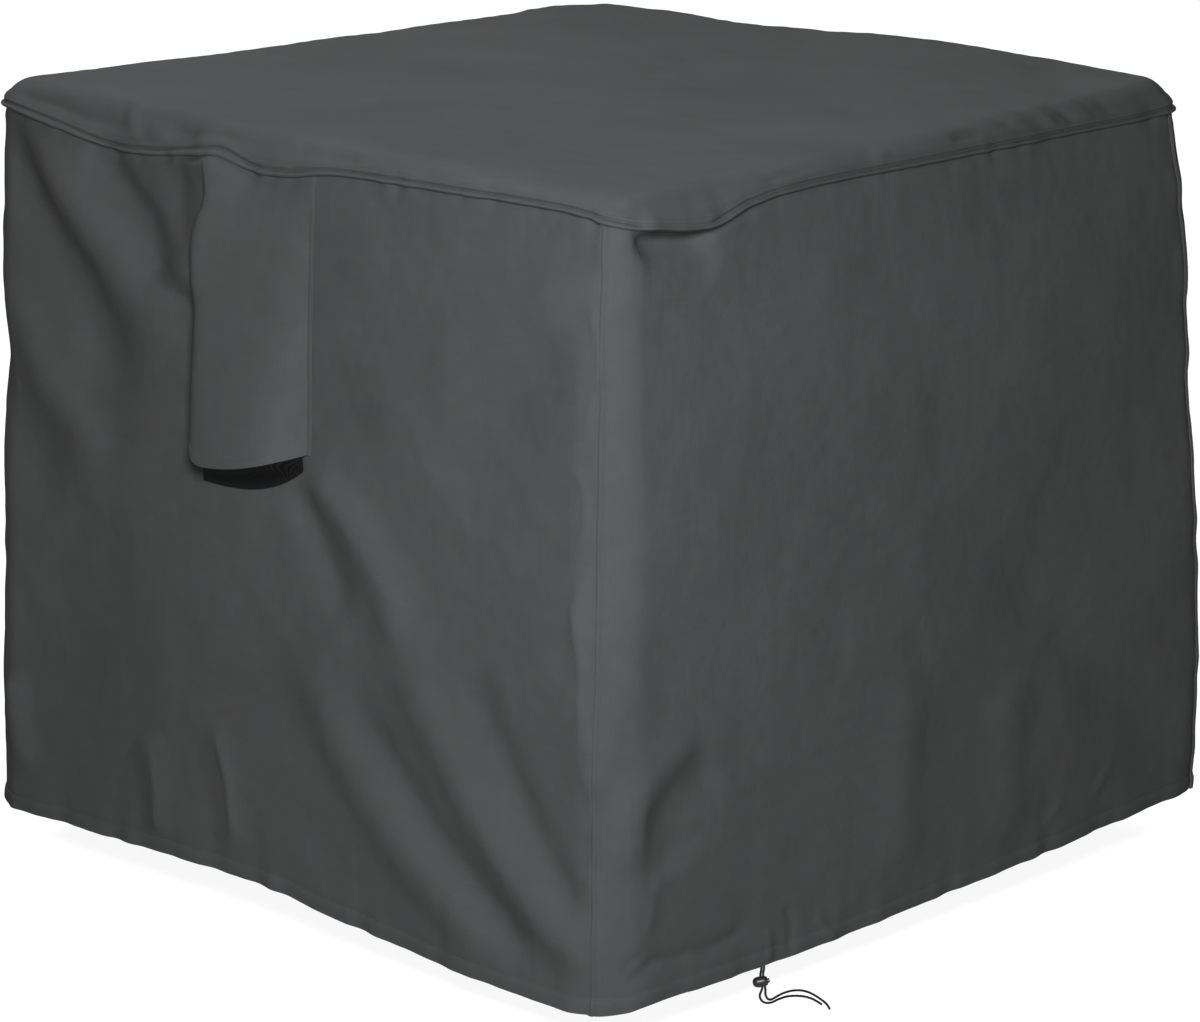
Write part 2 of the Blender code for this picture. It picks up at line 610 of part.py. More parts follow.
def tail(name, route, centre, finish):
    right = Vector((math.cos(LOCK_HEADING), math.sin(LOCK_HEADING), 0))
    away = Vector((-right.y, right.x, 0))
    world = [centre + (right * r + away * a + Vector((0, 0, u))) * 0.001 for r, a, u in route]
    points = evenly_spaced(smooth_path(world, PATH_STEPS), 2.1 * CORD)
    curve = bpy.data.curves.new(name, "CURVE")
    curve.dimensions = "3D"
    curve.bevel_depth = CORD / 2
    curve.bevel_resolution = 2
    curve.use_fill_caps = True
    spline = curve.splines.new("POLY")
    spline.points.add(len(points) - 1)
    for knot, point in zip(spline.points, points):
        knot.co = (*point, 1)
    curve.materials.append(finish)
    made = bpy.data.objects.new(name, curve)
    bpy.context.scene.collection.objects.link(made)
    return made


def turned(name, profile, finish, frame):
    """A solid turned about the lock's X axis, from (x, radius) pairs that start and end on the axis."""
    angles = np.linspace(0, 2 * math.pi, LATHE_STEPS, endpoint=False)
    vertices = [(profile[0][0], 0, 0)]
    for x, radius in profile[1:-1]:
        vertices += [(x, radius * math.cos(angle), radius * math.sin(angle)) for angle in angles]
    vertices.append((profile[-1][0], 0, 0))
    rings = len(profile) - 2
    faces = []
    for step in range(LATHE_STEPS):
        here, there = 1 + step, 1 + (step + 1) % LATHE_STEPS
        faces.append((0, there, here))
        for ring in range(rings - 1):
            low, high = ring * LATHE_STEPS, (ring + 1) * LATHE_STEPS
            faces.append((here + low, there + low, there + high, here + high))
        last = (rings - 1) * LATHE_STEPS
        faces.append((here + last, there + last, len(vertices) - 1))
    made = mesh_object(name, vertices, faces, finish)
    made.parent = frame
    return made


def cord_slot(name, start, end, frame):
    """Hidden cutter: an upright slot with round ends, from start to end along the lock's X axis."""
    radius = CORD / 2 + GAP
    height = 3 * BARREL_RADIUS
    arc = np.linspace(-math.pi / 2, math.pi / 2, 7)
    outline = [(end - radius + radius * math.cos(a), radius * math.sin(a)) for a in arc]
    outline += [(start + radius - radius * math.cos(a), -radius * math.sin(a)) for a in arc]
    count = len(outline)
    vertices = [(x, y, z) for z in (-height / 2, height / 2) for x, y in outline]
    faces = [tuple(range(count))[::-1], tuple(range(count, 2 * count))]
    faces += [(i, (i + 1) % count, (i + 1) % count + count, i + count) for i in range(count)]
    mesh = bpy.data.meshes.new(name)
    mesh.from_pydata(vertices, [], faces)
    cutter = bpy.data.objects.new(name, mesh)
    cutter.hide_render = True
    cutter.display_type = "WIRE"
    cutter.parent = frame
    bpy.context.scene.collection.objects.link(cutter)
    return cutter


def cut(target, cutter):
    boolean = target.modifiers.new("cord slot", "BOOLEAN")
    boolean.operation = "DIFFERENCE"
    boolean.solver = "EXACT"
    boolean.object = cutter


def barrel_radius(x):
    """The barrel's oval outline: full at the waist, round at the back and blunt at the mouth."""
    reach = (BARREL_WAIST - BARREL_BACK) if x < BARREL_WAIST else 1.3 * (BARREL_MOUTH - BARREL_WAIST)
    share = min(1.0, abs(x - BARREL_WAIST) / reach)
    return BARREL_RADIUS * (1 - share**BARREL_SQUARENESS) ** (1 / BARREL_SQUARENESS)


def cord_lock(frame, finish):
    """The barrel with its bore and slot, and the plunger whose button stands out of the mouth."""
    stations = BARREL_BACK + (BARREL_MOUTH - BARREL_BACK) * np.array(
        (0.01, 0.04, 0.10, 0.20, 0.33, 0.50, 0.66, 0.80, 0.91, 1.0)
    )
    outside = [(float(x), barrel_radius(x)) for x in stations]
    bore = [(BARREL_MOUTH, BORE_RADIUS), (BORE_BOTTOM, BORE_RADIUS), (BORE_BOTTOM, 0)]
    body = turned("cord_lock_body", [(BARREL_BACK, 0), *outside, *bore], finish, frame)
    half_slot = CORD_PITCH / 2 + CORD / 2 + GAP
    cut(body, cord_slot("body_slot", -half_slot, half_slot, frame))

    shoulder = BARREL_MOUTH + 0.0004
    plunger = turned(
        "cord_lock_plunger",
        [
            (STEM_BACK, 0),
            (STEM_BACK, STEM_RADIUS - 0.0005),
            (STEM_BACK + 0.0005, STEM_RADIUS),
            (shoulder, STEM_RADIUS),
            (shoulder + 0.0003, BUTTON_RADIUS),
            (BUTTON_END - 0.0008, BUTTON_RADIUS),
            (BUTTON_END - 0.0002, 0.75 * BUTTON_RADIUS),
            (BUTTON_END, 0.4 * BUTTON_RADIUS),
            (BUTTON_END, 0),
        ],
        finish,
        frame,
    )
    cut(plunger, cord_slot("plunger_slot", -half_slot, half_slot + PLUNGER_TRAVEL, frame))


def build():
    for old in list(bpy.data.objects):
        bpy.data.objects.remove(old, do_unlink=True)
    cloth = material("cover cloth", (0.045, 0.046, 0.048), 0.62)
    mesh_cloth = material("vent mesh", (0.012, 0.012, 0.012), 0.80)
    cord = material("drawcord", (0.010, 0.010, 0.010), 0.75)
    plastic = material("lock plastic", (0.012, 0.012, 0.013), 0.30)

    top_panel(cloth)
    for side in range(4):
        side_panel(side, cloth)
    vent_hood(cloth)
    vent_mesh(mesh_cloth)

    frame = lock_frame()
    for name, route in TAILS.items():
        tail(name, route, frame.matrix_world.translation, cord)
    cord_lock(frame, plastic)


build()
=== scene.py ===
"""Looks for the fitted patio furniture cover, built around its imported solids.

Metres, +Z up, in the frame of the solids. A place on the cover is given by two numbers. "around" counts
sides from the left corner (-X, -Y), so 0 to 1 is the front, 1 to 2 the right side, 2 to 3 the back and
3 to 4 the left side. "below" is the distance down the cloth from the top seam, and it is negative on the
rim and the top.
"""

import math
from collections import namedtuple

import bpy
import numpy as np
from mathutils import Matrix, Vector


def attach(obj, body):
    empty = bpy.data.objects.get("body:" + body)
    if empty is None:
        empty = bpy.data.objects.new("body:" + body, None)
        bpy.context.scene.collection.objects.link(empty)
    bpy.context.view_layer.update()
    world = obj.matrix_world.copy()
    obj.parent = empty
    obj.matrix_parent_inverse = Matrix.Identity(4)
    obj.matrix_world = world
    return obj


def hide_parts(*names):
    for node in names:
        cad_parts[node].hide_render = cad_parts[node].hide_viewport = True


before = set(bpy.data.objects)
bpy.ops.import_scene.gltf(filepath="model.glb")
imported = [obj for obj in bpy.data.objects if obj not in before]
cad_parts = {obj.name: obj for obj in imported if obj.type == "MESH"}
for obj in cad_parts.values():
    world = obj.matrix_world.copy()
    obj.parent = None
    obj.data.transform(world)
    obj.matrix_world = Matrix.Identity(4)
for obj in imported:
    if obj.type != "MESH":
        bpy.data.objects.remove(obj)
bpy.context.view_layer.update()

# ---- Camera ----
CAMERA_LENS, CAMERA_SENSOR = 139.866, 36  # millimetres
CAMERA_HEADING = 44.012  # degrees, from in front of the front panel, round towards the right one
CAMERA_HEIGHT = 15.026  # degrees above the horizon
CAMERA_DISTANCE, CAMERA_REACH = 6.2984, 60
CAMERA_SHIFT = (0.0006, -0.5751)  # to the right and up, square to the line of sight

# ---- Cut of the cover, as in its solids ----
WIDTH = 1.144
RIM_RADIUS = 0.034
SKIRT = 0.979
FLARE = 0.037
SEAM_CORNER = 0.040
HEM_CORNER = 0.072
CORNER_SEAM = 0.026
CLOTH = 0.0020
HEM_CLOTH = 0.0036
HEM_TUNNEL = 0.020
GAP = 0.0003
LAP = 0.012
CORD_AROUND = 1.231
CORD = 0.0030
LOCK_DROP = 0.0214
FLOOR_DROP = 0.0506
LOCK_HEADING = math.radians(44)
RIM_ARC = RIM_RADIUS * math.pi / 2
TOP_EDGE = WIDTH / 2 - RIM_RADIUS
LAP_AROUND = LAP / WIDTH
PATH_STEPS = 8
SEAM_LINE_REACH = 0.30  # down to where the seam's hang fades out
HEM_LINE_FROM = 0.45  # the share of the drop where the hem's hang begins

Corner = namedtuple("Corner", "x y at_seam at_hem belly")
CORNERS = (
    Corner(-1, -1, (-0.0065, -0.0063, 0.01), (-0.001, -0.001, 0.006), 0),
    Corner(1, -1, (0.009, 0.009, -0.003), (-0.0027, -0.0026, -0.007), 0),
    Corner(1, 1, (-0.015, -0.015, 0), (-0.0006, -0.0006, 0.012), 0.0155),
    Corner(-1, 1, (0.0099, 0.0095, -0.006), (0, 0, 0), 0.006),
)

# How far the seam and the hem hang down, as (around, drop).
SEAM_LINE = (
    (0.03, 0), (0.11, 0.012), (0.2, 0.028), (0.28, 0.024), (0.36, 0.01), (0.4, 0.004),
    (0.45, 0.018), (0.51, 0.015), (0.58, 0.002), (0.74, -0.005), (0.91, -0.011), (0.98, -0.006),
    (1.03, 0.004), (1.13, 0.02), (1.2, 0.003), (1.3, -0.005), (1.55, -0.001), (1.9, 0.004),
    (2.1, 0), (2.35, 0.008), (2.6, -0.003), (3.05, 0), (3.4, 0.007), (3.75, -0.002),
)
HEM_LINE = (
    (0.04, 0.003), (0.2, -0.007), (0.44, -0.019), (0.62, -0.008), (0.8, 0.003), (1.00, 0),
    (1.07, -0.006), (1.27, 0.003), (1.65, 0.001), (1.95, -0.005), (2.5, 0.004), (3.05, 0),
    (3.5, 0.005),
)

Fold = namedtuple("Fold", "path start_width end_width height")
FOLDS = (
    # front: ridges and hollows that fan out from the left corner, and hollows beside the hood
    Fold(((0.05, 0), (0.092, 0.036), (0.149, 0.105), (0.23, 0.176), (0.33, 0.262)), 0.036, 0.075, 0.014),
    Fold(
        ((0, 0.01), (0.034, 0.05), (0.084, 0.122), (0.15, 0.2), (0.2, 0.29), (0.24, 0.38)),
        0.034, 0.06, -0.014,
    ),
    Fold(((0.03, 0.215), (0.07, 0.3), (0.12, 0.375), (0.2, 0.46)), 0.034, 0.045, 0.01),
    Fold(((-0.03, 0.24), (0, 0.335), (0.05, 0.43), (0.13, 0.52)), 0.04, 0.055, -0.009),
    Fold(((0.17, 0), (0.21, 0.045), (0.26, 0.1), (0.315, 0.19)), 0.04, 0.05, -0.017),
    Fold(((0.32, 0), (0.34, 0.06), (0.34, 0.12)), 0.026, 0.03, -0.005),
    # front: folds that run from below the vent down to the front corner
    Fold(((0.54, 0.61), (0.59, 0.712), (0.65, 0.802), (0.73, 0.874), (0.85, 0.945)), 0.045, 0.036, 0.01),
    Fold(((0.6, 0.665), (0.68, 0.75), (0.74, 0.812), (0.82, 0.88), (0.9, 0.935)), 0.034, 0.026, -0.009),
    Fold(((0.68, 0.58), (0.74, 0.675), (0.82, 0.785), (0.91, 0.875), (0.98, 0.925)), 0.04, 0.026, 0.011),
    Fold(((0.78, 0.59), (0.84, 0.684), (0.91, 0.795), (0.97, 0.865)), 0.034, 0.024, -0.007),
    Fold(((0.53, 0.385), (0.6, 0.43), (0.66, 0.505), (0.7, 0.6)), 0.03, 0.036, 0.012),
    Fold(((0.52, 0.41), (0.57, 0.5), (0.61, 0.57)), 0.026, 0.03, -0.008),
    # front: the broad band that falls from the front corner, and the hollow under it
    Fold(((0.97, 0.062), (0.82, 0.17), (0.71, 0.235), (0.61, 0.3)), 0.034, 0.055, 0.009),
    Fold(((0.93, 0.15), (0.83, 0.25), (0.72, 0.34)), 0.04, 0.07, -0.006),
    # front: short folds that stand on the hem
    Fold(((0.045, 0.78), (0.055, 0.84), (0.075, 0.92)), 0.024, 0.026, 0.01),
    Fold(((0.29, 0.81), (0.305, 0.88), (0.31, 0.96)), 0.026, 0.026, 0.005),
    Fold(((0.4, 0.76), (0.42, 0.85), (0.435, 0.95)), 0.026, 0.026, 0.005),
    # right: tuck under the seam, the bent crease by the front corner and the soft folds beyond it
    Fold(((1.03, 0.03), (1.09, 0.032), (1.16, 0.04)), 0.024, 0.02, -0.007),
    Fold(((1.13, 0.64), (1.075, 0.675), (1.038, 0.715), (1.028, 0.76), (1.03, 0.81)), 0.03, 0.034, 0.006),
    Fold(((1.16, 0.69), (1.11, 0.72), (1.088, 0.75), (1.09, 0.78), (1.1, 0.82)), 0.04, 0.05, -0.008),
    Fold(((1.02, 0.945), (1.07, 0.927), (1.14, 0.932), (1.21, 0.921)), 0.02, 0.02, -0.002),
    Fold(((1.45, 0.64), (1.45, 0.78), (1.445, 0.93)), 0.035, 0.04, 0.006),
    Fold(((1.62, 0.7), (1.62, 0.82), (1.615, 0.95)), 0.035, 0.04, 0.006),
    Fold(((1.6, 0.52), (1.76, 0.72), (1.93, 0.93)), 0.05, 0.06, -0.008),
    # back
    Fold(((2.03, 0.01), (2.14, 0.12), (2.26, 0.28), (2.34, 0.42)), 0.035, 0.055, 0.01),
    Fold(((2.06, 0.09), (2.14, 0.22), (2.22, 0.38)), 0.035, 0.05, -0.009),
    Fold(((2.96, 0.03), (2.84, 0.19), (2.74, 0.37), (2.68, 0.52)), 0.035, 0.055, 0.01),
    Fold(((2.55, 0.6), (2.66, 0.74), (2.82, 0.88), (2.95, 0.95)), 0.045, 0.045, -0.01),
    Fold(((2.3, 0.7), (2.32, 0.82), (2.33, 0.95)), 0.045, 0.045, 0.008),
    # left
    Fold(((3.95, 0.02), (3.83, 0.15), (3.7, 0.33), (3.62, 0.5)), 0.035, 0.055, 0.011),
    Fold(((3.93, 0.14), (3.84, 0.29), (3.77, 0.45)), 0.035, 0.05, -0.009),
    Fold(((3.04, 0.04), (3.16, 0.2), (3.25, 0.38)), 0.035, 0.05, 0.009),
    Fold(((3.35, 0.56), (3.22, 0.72), (3.08, 0.88)), 0.045, 0.045, -0.01),
    Fold(((3.58, 0.72), (3.57, 0.84), (3.56, 0.95)), 0.045, 0.045, 0.008),
)
Swell = namedtuple("Swell", "middle reach height")
SWELLS = (
    Swell((0.86, 0.48), (0.12, 0.2), -0.008),
    Swell((0.08, 0.62), (0.11, 0.16), -0.006),
    Swell((0.33, 0.64), (0.2, 0.2), 0.006),
    Swell((1.45, 0.42), (0.35, 0.34), 0.01),
    Swell((2.5, 0.45), (0.32, 0.32), -0.008),
    Swell((3.45, 0.5), (0.3, 0.32), -0.008),
)
TOP_SWELLS = (
    Swell((0.24, 0.54), (0.3, 0.18), 0.014),
    Swell((-0.15, -0.1), (0.3, 0.3), -0.003),
)
TOP_FOLDS = (
    Fold(((-0.52, -0.27), (-0.4, -0.4), (-0.25, -0.52)), 0.035, 0.04, -0.004),
    Fold(((0.36, 0.53), (0.44, 0.45), (0.53, 0.34)), 0.035, 0.04, -0.004),
    Fold(((-0.1, 0.53), (-0.02, 0.42), (0.02, 0.3)), 0.04, 0.05, -0.003),
)

VENT_LEFT, VENT_RIGHT = 0.366, 0.546
VENT_FLANGE = 0.007
VENT_BOTTOM = 0.404
VENT_BULGE = 0.048
VENT_SLANT = 0.036
# The hood's left edge swings in under the seam.
HOOD_NOTCH, HOOD_NOTCH_AT, HOOD_NOTCH_REACH = 0.020, 0.050, 0.042
HOOD_PRESS = 0.0012
HOOD_SAG = 0.010
HOOD_TIP, HOOD_TIP_REACH = 0.024, 0.12  # how far the left tip of its lower edge is drawn up
MESH_CLOTH = 0.0010
MESH_RISE = 0.012
MESH_DROP = 0.033
MESH_SLANT = 0.050
MESH_INSIDE = 0.6 * CLOTH  # from the middle of the hood's cloth to the net's upper edge
MESH_INSET = 0.03  # the share by which its columns draw in from the hood's edges
MESH_STAYS_OUT = 0.15  # the share of its length that stays under the hood
MESH_SLACK = 0.6  # how much its distance from the wall lengthens its weave
HOOD_HEM = 0.0115  # from its lower edge up to its stitched line
HOOD_HEM_CLOTH = 0.0012  # how much thicker the hood is along its hem
HOOD_LEFT_POWER, HOOD_RIGHT_POWER = 12, 5  # how steeply its arch falls at its edges
HOOD_CROWN = 0.15  # the share of its arch that is round from edge to edge
HOOD_LIFTS_OVER = 0.26  # the share of its length in which its left side comes off the wall
HOOD_RIGHT_LIFT = 1.2  # the power by which its right side comes off
HOOD_STITCH_INSET = 0.4 * VENT_FLANGE
HOOD_THREAD_LIFT = 0.0004  # how much higher the thread lies on the thicker hem
CLIMB = 0.03  # how far beside the hood, around, the top panel begins to climb on it
HOOD_FLATTENS = 0.7  # the share of the relief that its cloth loses where it stands free

FOLD_REACH, CREASE_REACH, RIM_CREASE_REACH = 0.18, 0.30, 0.05  # farther off, a fold is flat

# ---- Finer folds, which the solids leave out ----
# The path runs in (around, below). The two half widths are to the left and to the right of someone who
# walks along it on the outside. Sharpness 2 is a soft fold, and nearer 1 is a pinched one.
Crease = namedtuple("Crease", "path left right height sharpness", defaults=(1.6,))
CREASES = (
    # front: under the seam, and the ridge beside the hood
    Crease(((0.13, 0.012), (0.2, 0.06), (0.27, 0.112)), 0.02, 0.018, 0.003, 1.7),
    Crease(
        ((0.405, -0.03), (0.396, 0.02), (0.388, 0.07), (0.366, 0.13), (0.35, 0.2)),
        0.04, 0.08, 0.022, 1.7,
    ),
    Crease(((0.225, 0), (0.25, 0.03), (0.285, 0.062), (0.32, 0.09)), 0.018, 0.018, 0.002, 1.8),
    # front: on the hem
    Crease(((0.299, 0.835), (0.307, 0.888), (0.307, 0.952)), 0.005, 0.006, 0.0026),
    Crease(((0.407, 0.785), (0.418, 0.823), (0.427, 0.855), (0.434, 0.929)), 0.006, 0.007, 0.0032),
    Crease(((0.242, 0.872), (0.273, 0.824), (0.324, 0.794)), 0.006, 0.006, -0.002),
    # front: the crest along the front corner, and ripples on it
    Crease(((0.958, 0.06), (0.946, 0.25), (0.944, 0.42), (0.956, 0.58), (0.985, 0.74)), 0.026, 0.11, 0.009),
    Crease(((0.962, 0.09), (0.975, 0.17), (0.958, 0.25)), 0.006, 0.006, 0.0025, 1.7),
    Crease(((0.95, 0.29), (0.962, 0.34), (0.955, 0.4)), 0.006, 0.007, 0.0025, 1.7),
    Crease(((0.958, 0.42), (0.948, 0.48), (0.962, 0.56), (0.958, 0.64)), 0.007, 0.007, 0.0025, 1.7),
    Crease(((0.965, 0.66), (0.978, 0.74), (0.972, 0.83)), 0.006, 0.006, 0.0022, 1.7),
    # right: by the front corner, on the hem, and the tuck under the seam
    Crease(
        ((1.13, 0.655), (1.082, 0.69), (1.048, 0.722), (1.044, 0.748), (1.05, 0.775)),
        0.022, 0.02, 0.001, 1.7,
    ),
    Crease(((1.071, 0.813), (1.061, 0.848), (1.054, 0.891)), 0.007, 0.007, 0.002, 1.5),
    Crease(
        ((1.018, 0.947), (1.046, 0.932), (1.072, 0.927), (1.144, 0.933), (1.205, 0.921)),
        0.007, 0.006, -0.0025,
    ),
    Crease(((1.233, 0.93), (1.24, 0.955), (1.236, 0.979)), 0.006, 0.006, 0.003, 1.7),
    Crease(((1.264, 0.905), (1.272, 0.94), (1.268, 0.979)), 0.007, 0.006, -0.003, 1.7),
    Crease(((1.307, 0.935), (1.322, 0.955), (1.34, 0.979)), 0.006, 0.006, 0.003, 1.7),
    Crease(((1.015, 0.016), (1.05, 0.014), (1.1, 0.012), (1.15, 0.005)), 0.014, 0.016, -0.016, 2.0),
    Crease(((1.016, 0.922), (1.034, 0.912), (1.051, 0.906)), 0.005, 0.005, -0.002),
    Crease(((1.721, 0.91), (1.687, 0.942)), 0.006, 0.006, 0.002),
    Crease(((1.813, 0.88), (1.776, 0.926)), 0.006, 0.006, 0.002),
)
# The same on the rim, where below is negative.
RIM_CREASES = (
    Crease(((0.03, -0.018), (0.098, -0.021), (0.159, -0.02), (0.228, -0.028)), 0.008, 0.008, -0.0065, 1.5),
    Crease(((0.212, -0.036), (0.232, -0.024), (0.25, -0.014)), 0.01, 0.009, 0.0032),
    Crease(((0.205, -0.028), (0.224, -0.02), (0.236, -0.014)), 0.007, 0.007, -0.0022),
    Crease(((0.262, -0.026), (0.28, -0.022), (0.3, -0.018)), 0.006, 0.006, 0.003),
    Crease(((0.3, -0.024), (0.32, -0.021), (0.35, -0.02)), 0.01, 0.008, -0.0065),
    Crease(((0.372, -0.016), (0.4, -0.02), (0.43, -0.018)), 0.007, 0.006, -0.003),
    Crease(((0.47, -0.016), (0.495, -0.026), (0.51, -0.034)), 0.009, 0.009, 0.0042),
    Crease(((0.56, -0.016), (0.58, -0.022), (0.61, -0.02)), 0.009, 0.009, -0.0042),
    Crease(((0.7, -0.016), (0.73, -0.024)), 0.006, 0.006, -0.0022),
    Crease(((0.84, -0.018), (0.865, -0.028), (0.88, -0.038)), 0.006, 0.006, 0.0024),
    Crease(((1.02, -0.004), (1.06, -0.006), (1.11, -0.006), (1.15, -0.01)), 0.014, 0.01, 0.01, 1.8),
    Crease(((1.23, -0.016), (1.26, -0.022), (1.3, -0.018)), 0.006, 0.006, -0.0026),
    Crease(((1.42, -0.016), (1.45, -0.026)), 0.008, 0.008, 0.0038),
    Crease(((1.56, -0.018), (1.59, -0.024), (1.62, -0.02)), 0.008, 0.008, -0.0042),
    Crease(((1.664, -0.056), (1.672, -0.04), (1.684, -0.026)), 0.01, 0.01, -0.0045, 1.7),
    Crease(((1.738, -0.054), (1.744, -0.034), (1.752, -0.012)), 0.012, 0.01, 0.0042, 1.7),
    Crease(((1.776, -0.052), (1.782, -0.03), (1.79, -0.012)), 0.007, 0.008, -0.0056),
    Crease(((1.812, -0.05), (1.816, -0.03), (1.82, -0.012)), 0.01, 0.012, 0.003, 1.7),
    Crease(((1.868, -0.046), (1.864, -0.028), (1.86, -0.012)), 0.008, 0.01, -0.0022),
)

# Small unevenness that goes all around. A row of lumps is given by how many fit around the cover.
Ruffle = namedtuple("Ruffle", "lumps rows_apart height seed")
DRAPE = Ruffle(26, 0.19, 0.0030, 11)  # slack in the large panels
RUMPLE = Ruffle(90, 0.060, 0.0012, 12)
CRUMPLE = Ruffle(300, 0.017, 0.00030, 13)
SEAM_PUCKER = Ruffle(250, 0.050, 0.0019, 14)
SLACKNESS = Ruffle(44, 0.50, 0.75, 16)  # how much the puckers vary along a seam
HEM_GATHER = Ruffle(170, 0.080, 0.0024, 15)
SEAM_PUCKER_REACH = 0.030
HEM_GATHER_REACH = 0.040
DRAPE_FADE = 0.12  # below the seam, where the large panels are still taut
# How far the side cloth is drawn in under the top seam, how far below it and over what reach.
SEAM_TUCK, SEAM_TUCK_AT, SEAM_TUCK_REACH = 0.0020, 0.004, 0.006
HEM_BULGE = 0.0004  # of the cord in its tunnel
HEM_STITCH_SINK, HEM_STITCH_REACH = 0.0006, 0.003
RIM_SHARE = 0.4  # of the rumple that the rim and the top have
CORNER_PUCKER_SPACING = 0.034
CORNER_PUCKER = 0.0030
CORNER_PUCKER_REACH = 0.022
CORNER_PUCKER_SLANT = 0.25
CORNER_PUCKER_SEED = 30
LATTICE_ROWS = 128
TOP_RUMPLES = (Ruffle(36, 0.110, 0.0032, 17), Ruffle(110, 0.034, 0.0008, 18))

# ---- Sewing ----
STITCH = 0.0034
STITCH_SPACING = 0.0042
THREAD = 0.0007
THREAD_SIDES = 5
THREAD_STAND, THREAD_SINK = 0.35 * THREAD, 0.5 * THREAD  # its middle above the cloth, its ends in it
STITCH_BEND = 0.38 * STITCH  # from a stitch's middle to where it goes in
ROW_STEP = 0.002  # between the places along which a row is laid out
TOP_STITCH_ROWS = (0.0062, 0.0126)  # from the free edge of the lap
CORNER_STITCH_ROWS = (0.0020, 0.0098)
Bead = namedtuple("Bead", "middle width height")
TOP_WELT = (
    Bead(0.0026, 0.0026, 0.0034),
    Bead(0.0064, 0.0018, -0.0024),
    Bead(0.0104, 0.0024, 0.0006),
    Bead(0.0126, 0.0014, -0.0007),
)
CORNER_WELT = (
    Bead(0.0020, 0.0012, -0.0005),
    Bead(0.0059, 0.0028, 0.0012),
    Bead(0.0098, 0.0012, -0.0005),
)
WEAVE = 0.0009  # from one yarn to the next
YARN_ACROSS, YARN_ALONG = 900.0, 6.0  # scale of the noise that sets the yarns apart
NET_WAVES = 2800.0  # radians per metre
BRAID_PITCH = 0.0026
BRAID_STRANDS = 4
NOISE_SPAN = (0.3, 0.7)
CLOTH_TONE = (0.0256, 0.0260, 0.0266)
CLOTH_GLOSS = 0.01

# ---- Resolution ----
FRONT_CELL, RIGHT_CELL, HIDDEN_CELL, TOP_CELL = 0.0050, 0.0056, 0.0085, 0.0078
RIM_CELL, HEM_CELL, HOOD_CELL = 0.0040, 0.0028, 0.0040
HOOD_COLUMNS, MESH_COLUMNS, FLANGE_COLUMNS, MESH_ROWS = 56, 40, 4, 18
TUNNEL_ROWS = (-0.006, -0.003, -0.001, 0.001, 0.003)  # about the stitched line of the hem
HOOD_EDGE_ROWS = (0.014, 0.012, 0.010, 0.007, 0.004, 0.002, 0.0)  # above its lower edge


# ---- The cover's surface, as in its solids ----


def smooth_path(points, steps):
    """A smooth curve through the points, returned as points along it."""
    knots = np.array(points, float)
    padded = np.vstack([2 * knots[0] - knots[1], knots, 2 * knots[-1] - knots[-2]])
    share = np.linspace(0, 1, steps, endpoint=False)[:, None]
    runs = []
    for before, start, end, after in zip(padded, padded[1:], padded[2:], padded[3:]):
        linear = (end - before) * share
        square = (2 * before - 5 * start + 4 * end - after) * share**2
        cube = (3 * start - before - 3 * end + after) * share**3
        runs.append(start + (linear + square + cube) / 2)
    return np.vstack(runs + [knots[-1:]])


def ease(low, high, value):
    """0 below low, 1 above high, and a smooth rise between."""
    share = np.clip((value - low) / (high - low), 0, 1)
    return share * share * (3 - 2 * share)


def hump(value, middle, reach):
    """1 at the middle, and a smooth fall to both sides of it."""
    return np.exp(-(((value - middle) / reach) ** 2))


def beside_path(path, points, scale):
    """For each point: how far along the path it lies, its distance from it and its side (1 is right)."""
    path = smooth_path(path, PATH_STEPS) * scale
    starts, runs = path[:-1], np.diff(path, axis=0)
    lengths = np.linalg.norm(runs, axis=1)
    apart = (points * scale)[:, None] - starts
    share = np.clip((apart * runs).sum(2) / lengths**2, 0, 1)
    offset = apart - share[..., None] * runs
    distance = np.linalg.norm(offset, axis=2)
    nearest = (np.arange(len(points)), distance.argmin(1))
    reached = np.append(0, lengths.cumsum())[nearest[1]] + share[nearest] * lengths[nearest[1]]
    turn = runs[nearest[1], 0] * offset[nearest][:, 1] - runs[nearest[1], 1] * offset[nearest][:, 0]
    return reached / lengths.sum(), distance[nearest], np.sign(turn)


def fade_at_ends(along):
    return ease(0, 0.25, along + 0.05) * ease(0, 0.25, 1.05 - along)


def fold_height(fold, points, scale):
    along, distance, _ = beside_path(fold.path, points, scale)
    width = fold.start_width + (fold.end_width - fold.start_width) * along
    return fold.height * fade_at_ends(along) * hump(distance, 0, width)


def crease_height(crease, points, scale):
    along, distance, side = beside_path(crease.path, points, scale)
    width = np.where(side > 0, crease.right, crease.left)
    return crease.height * fade_at_ends(along) * np.exp(-((distance / width) ** crease.sharpness))


def swell_height(swell, across, along):
    sideways = (across - swell.middle[0]) / swell.reach[0]
    lengthways = (along - swell.middle[1]) / swell.reach[1]
    return swell.height * np.exp(-(sideways**2) - lengthways**2)


def nearest_turn(around, middle):
    """The same place around the cover, counted so that it lies within two sides of the middle."""
    return (around - middle + 2) % 4 - 2 + middle


def near_folds(folds, height_of, around, below, reach):
    """Total height of the folds at each place. Places further than reach from a fold are passed over."""
    total = np.zeros(around.shape)
    for fold in folds:
        path = np.array(fold.path)
        turned = nearest_turn(around, path[:, 0].mean())
        low, high = path.min(0), path.max(0)
        near = (turned > low[0] - reach / WIDTH) & (turned < high[0] + reach / WIDTH)
        near &= (below > low[1] - reach) & (below < high[1] + reach)
        if near.any():
            spots = np.stack([turned[near], below[near]], axis=-1)
            total[near] += height_of(fold, spots, (WIDTH, 1))
    return total


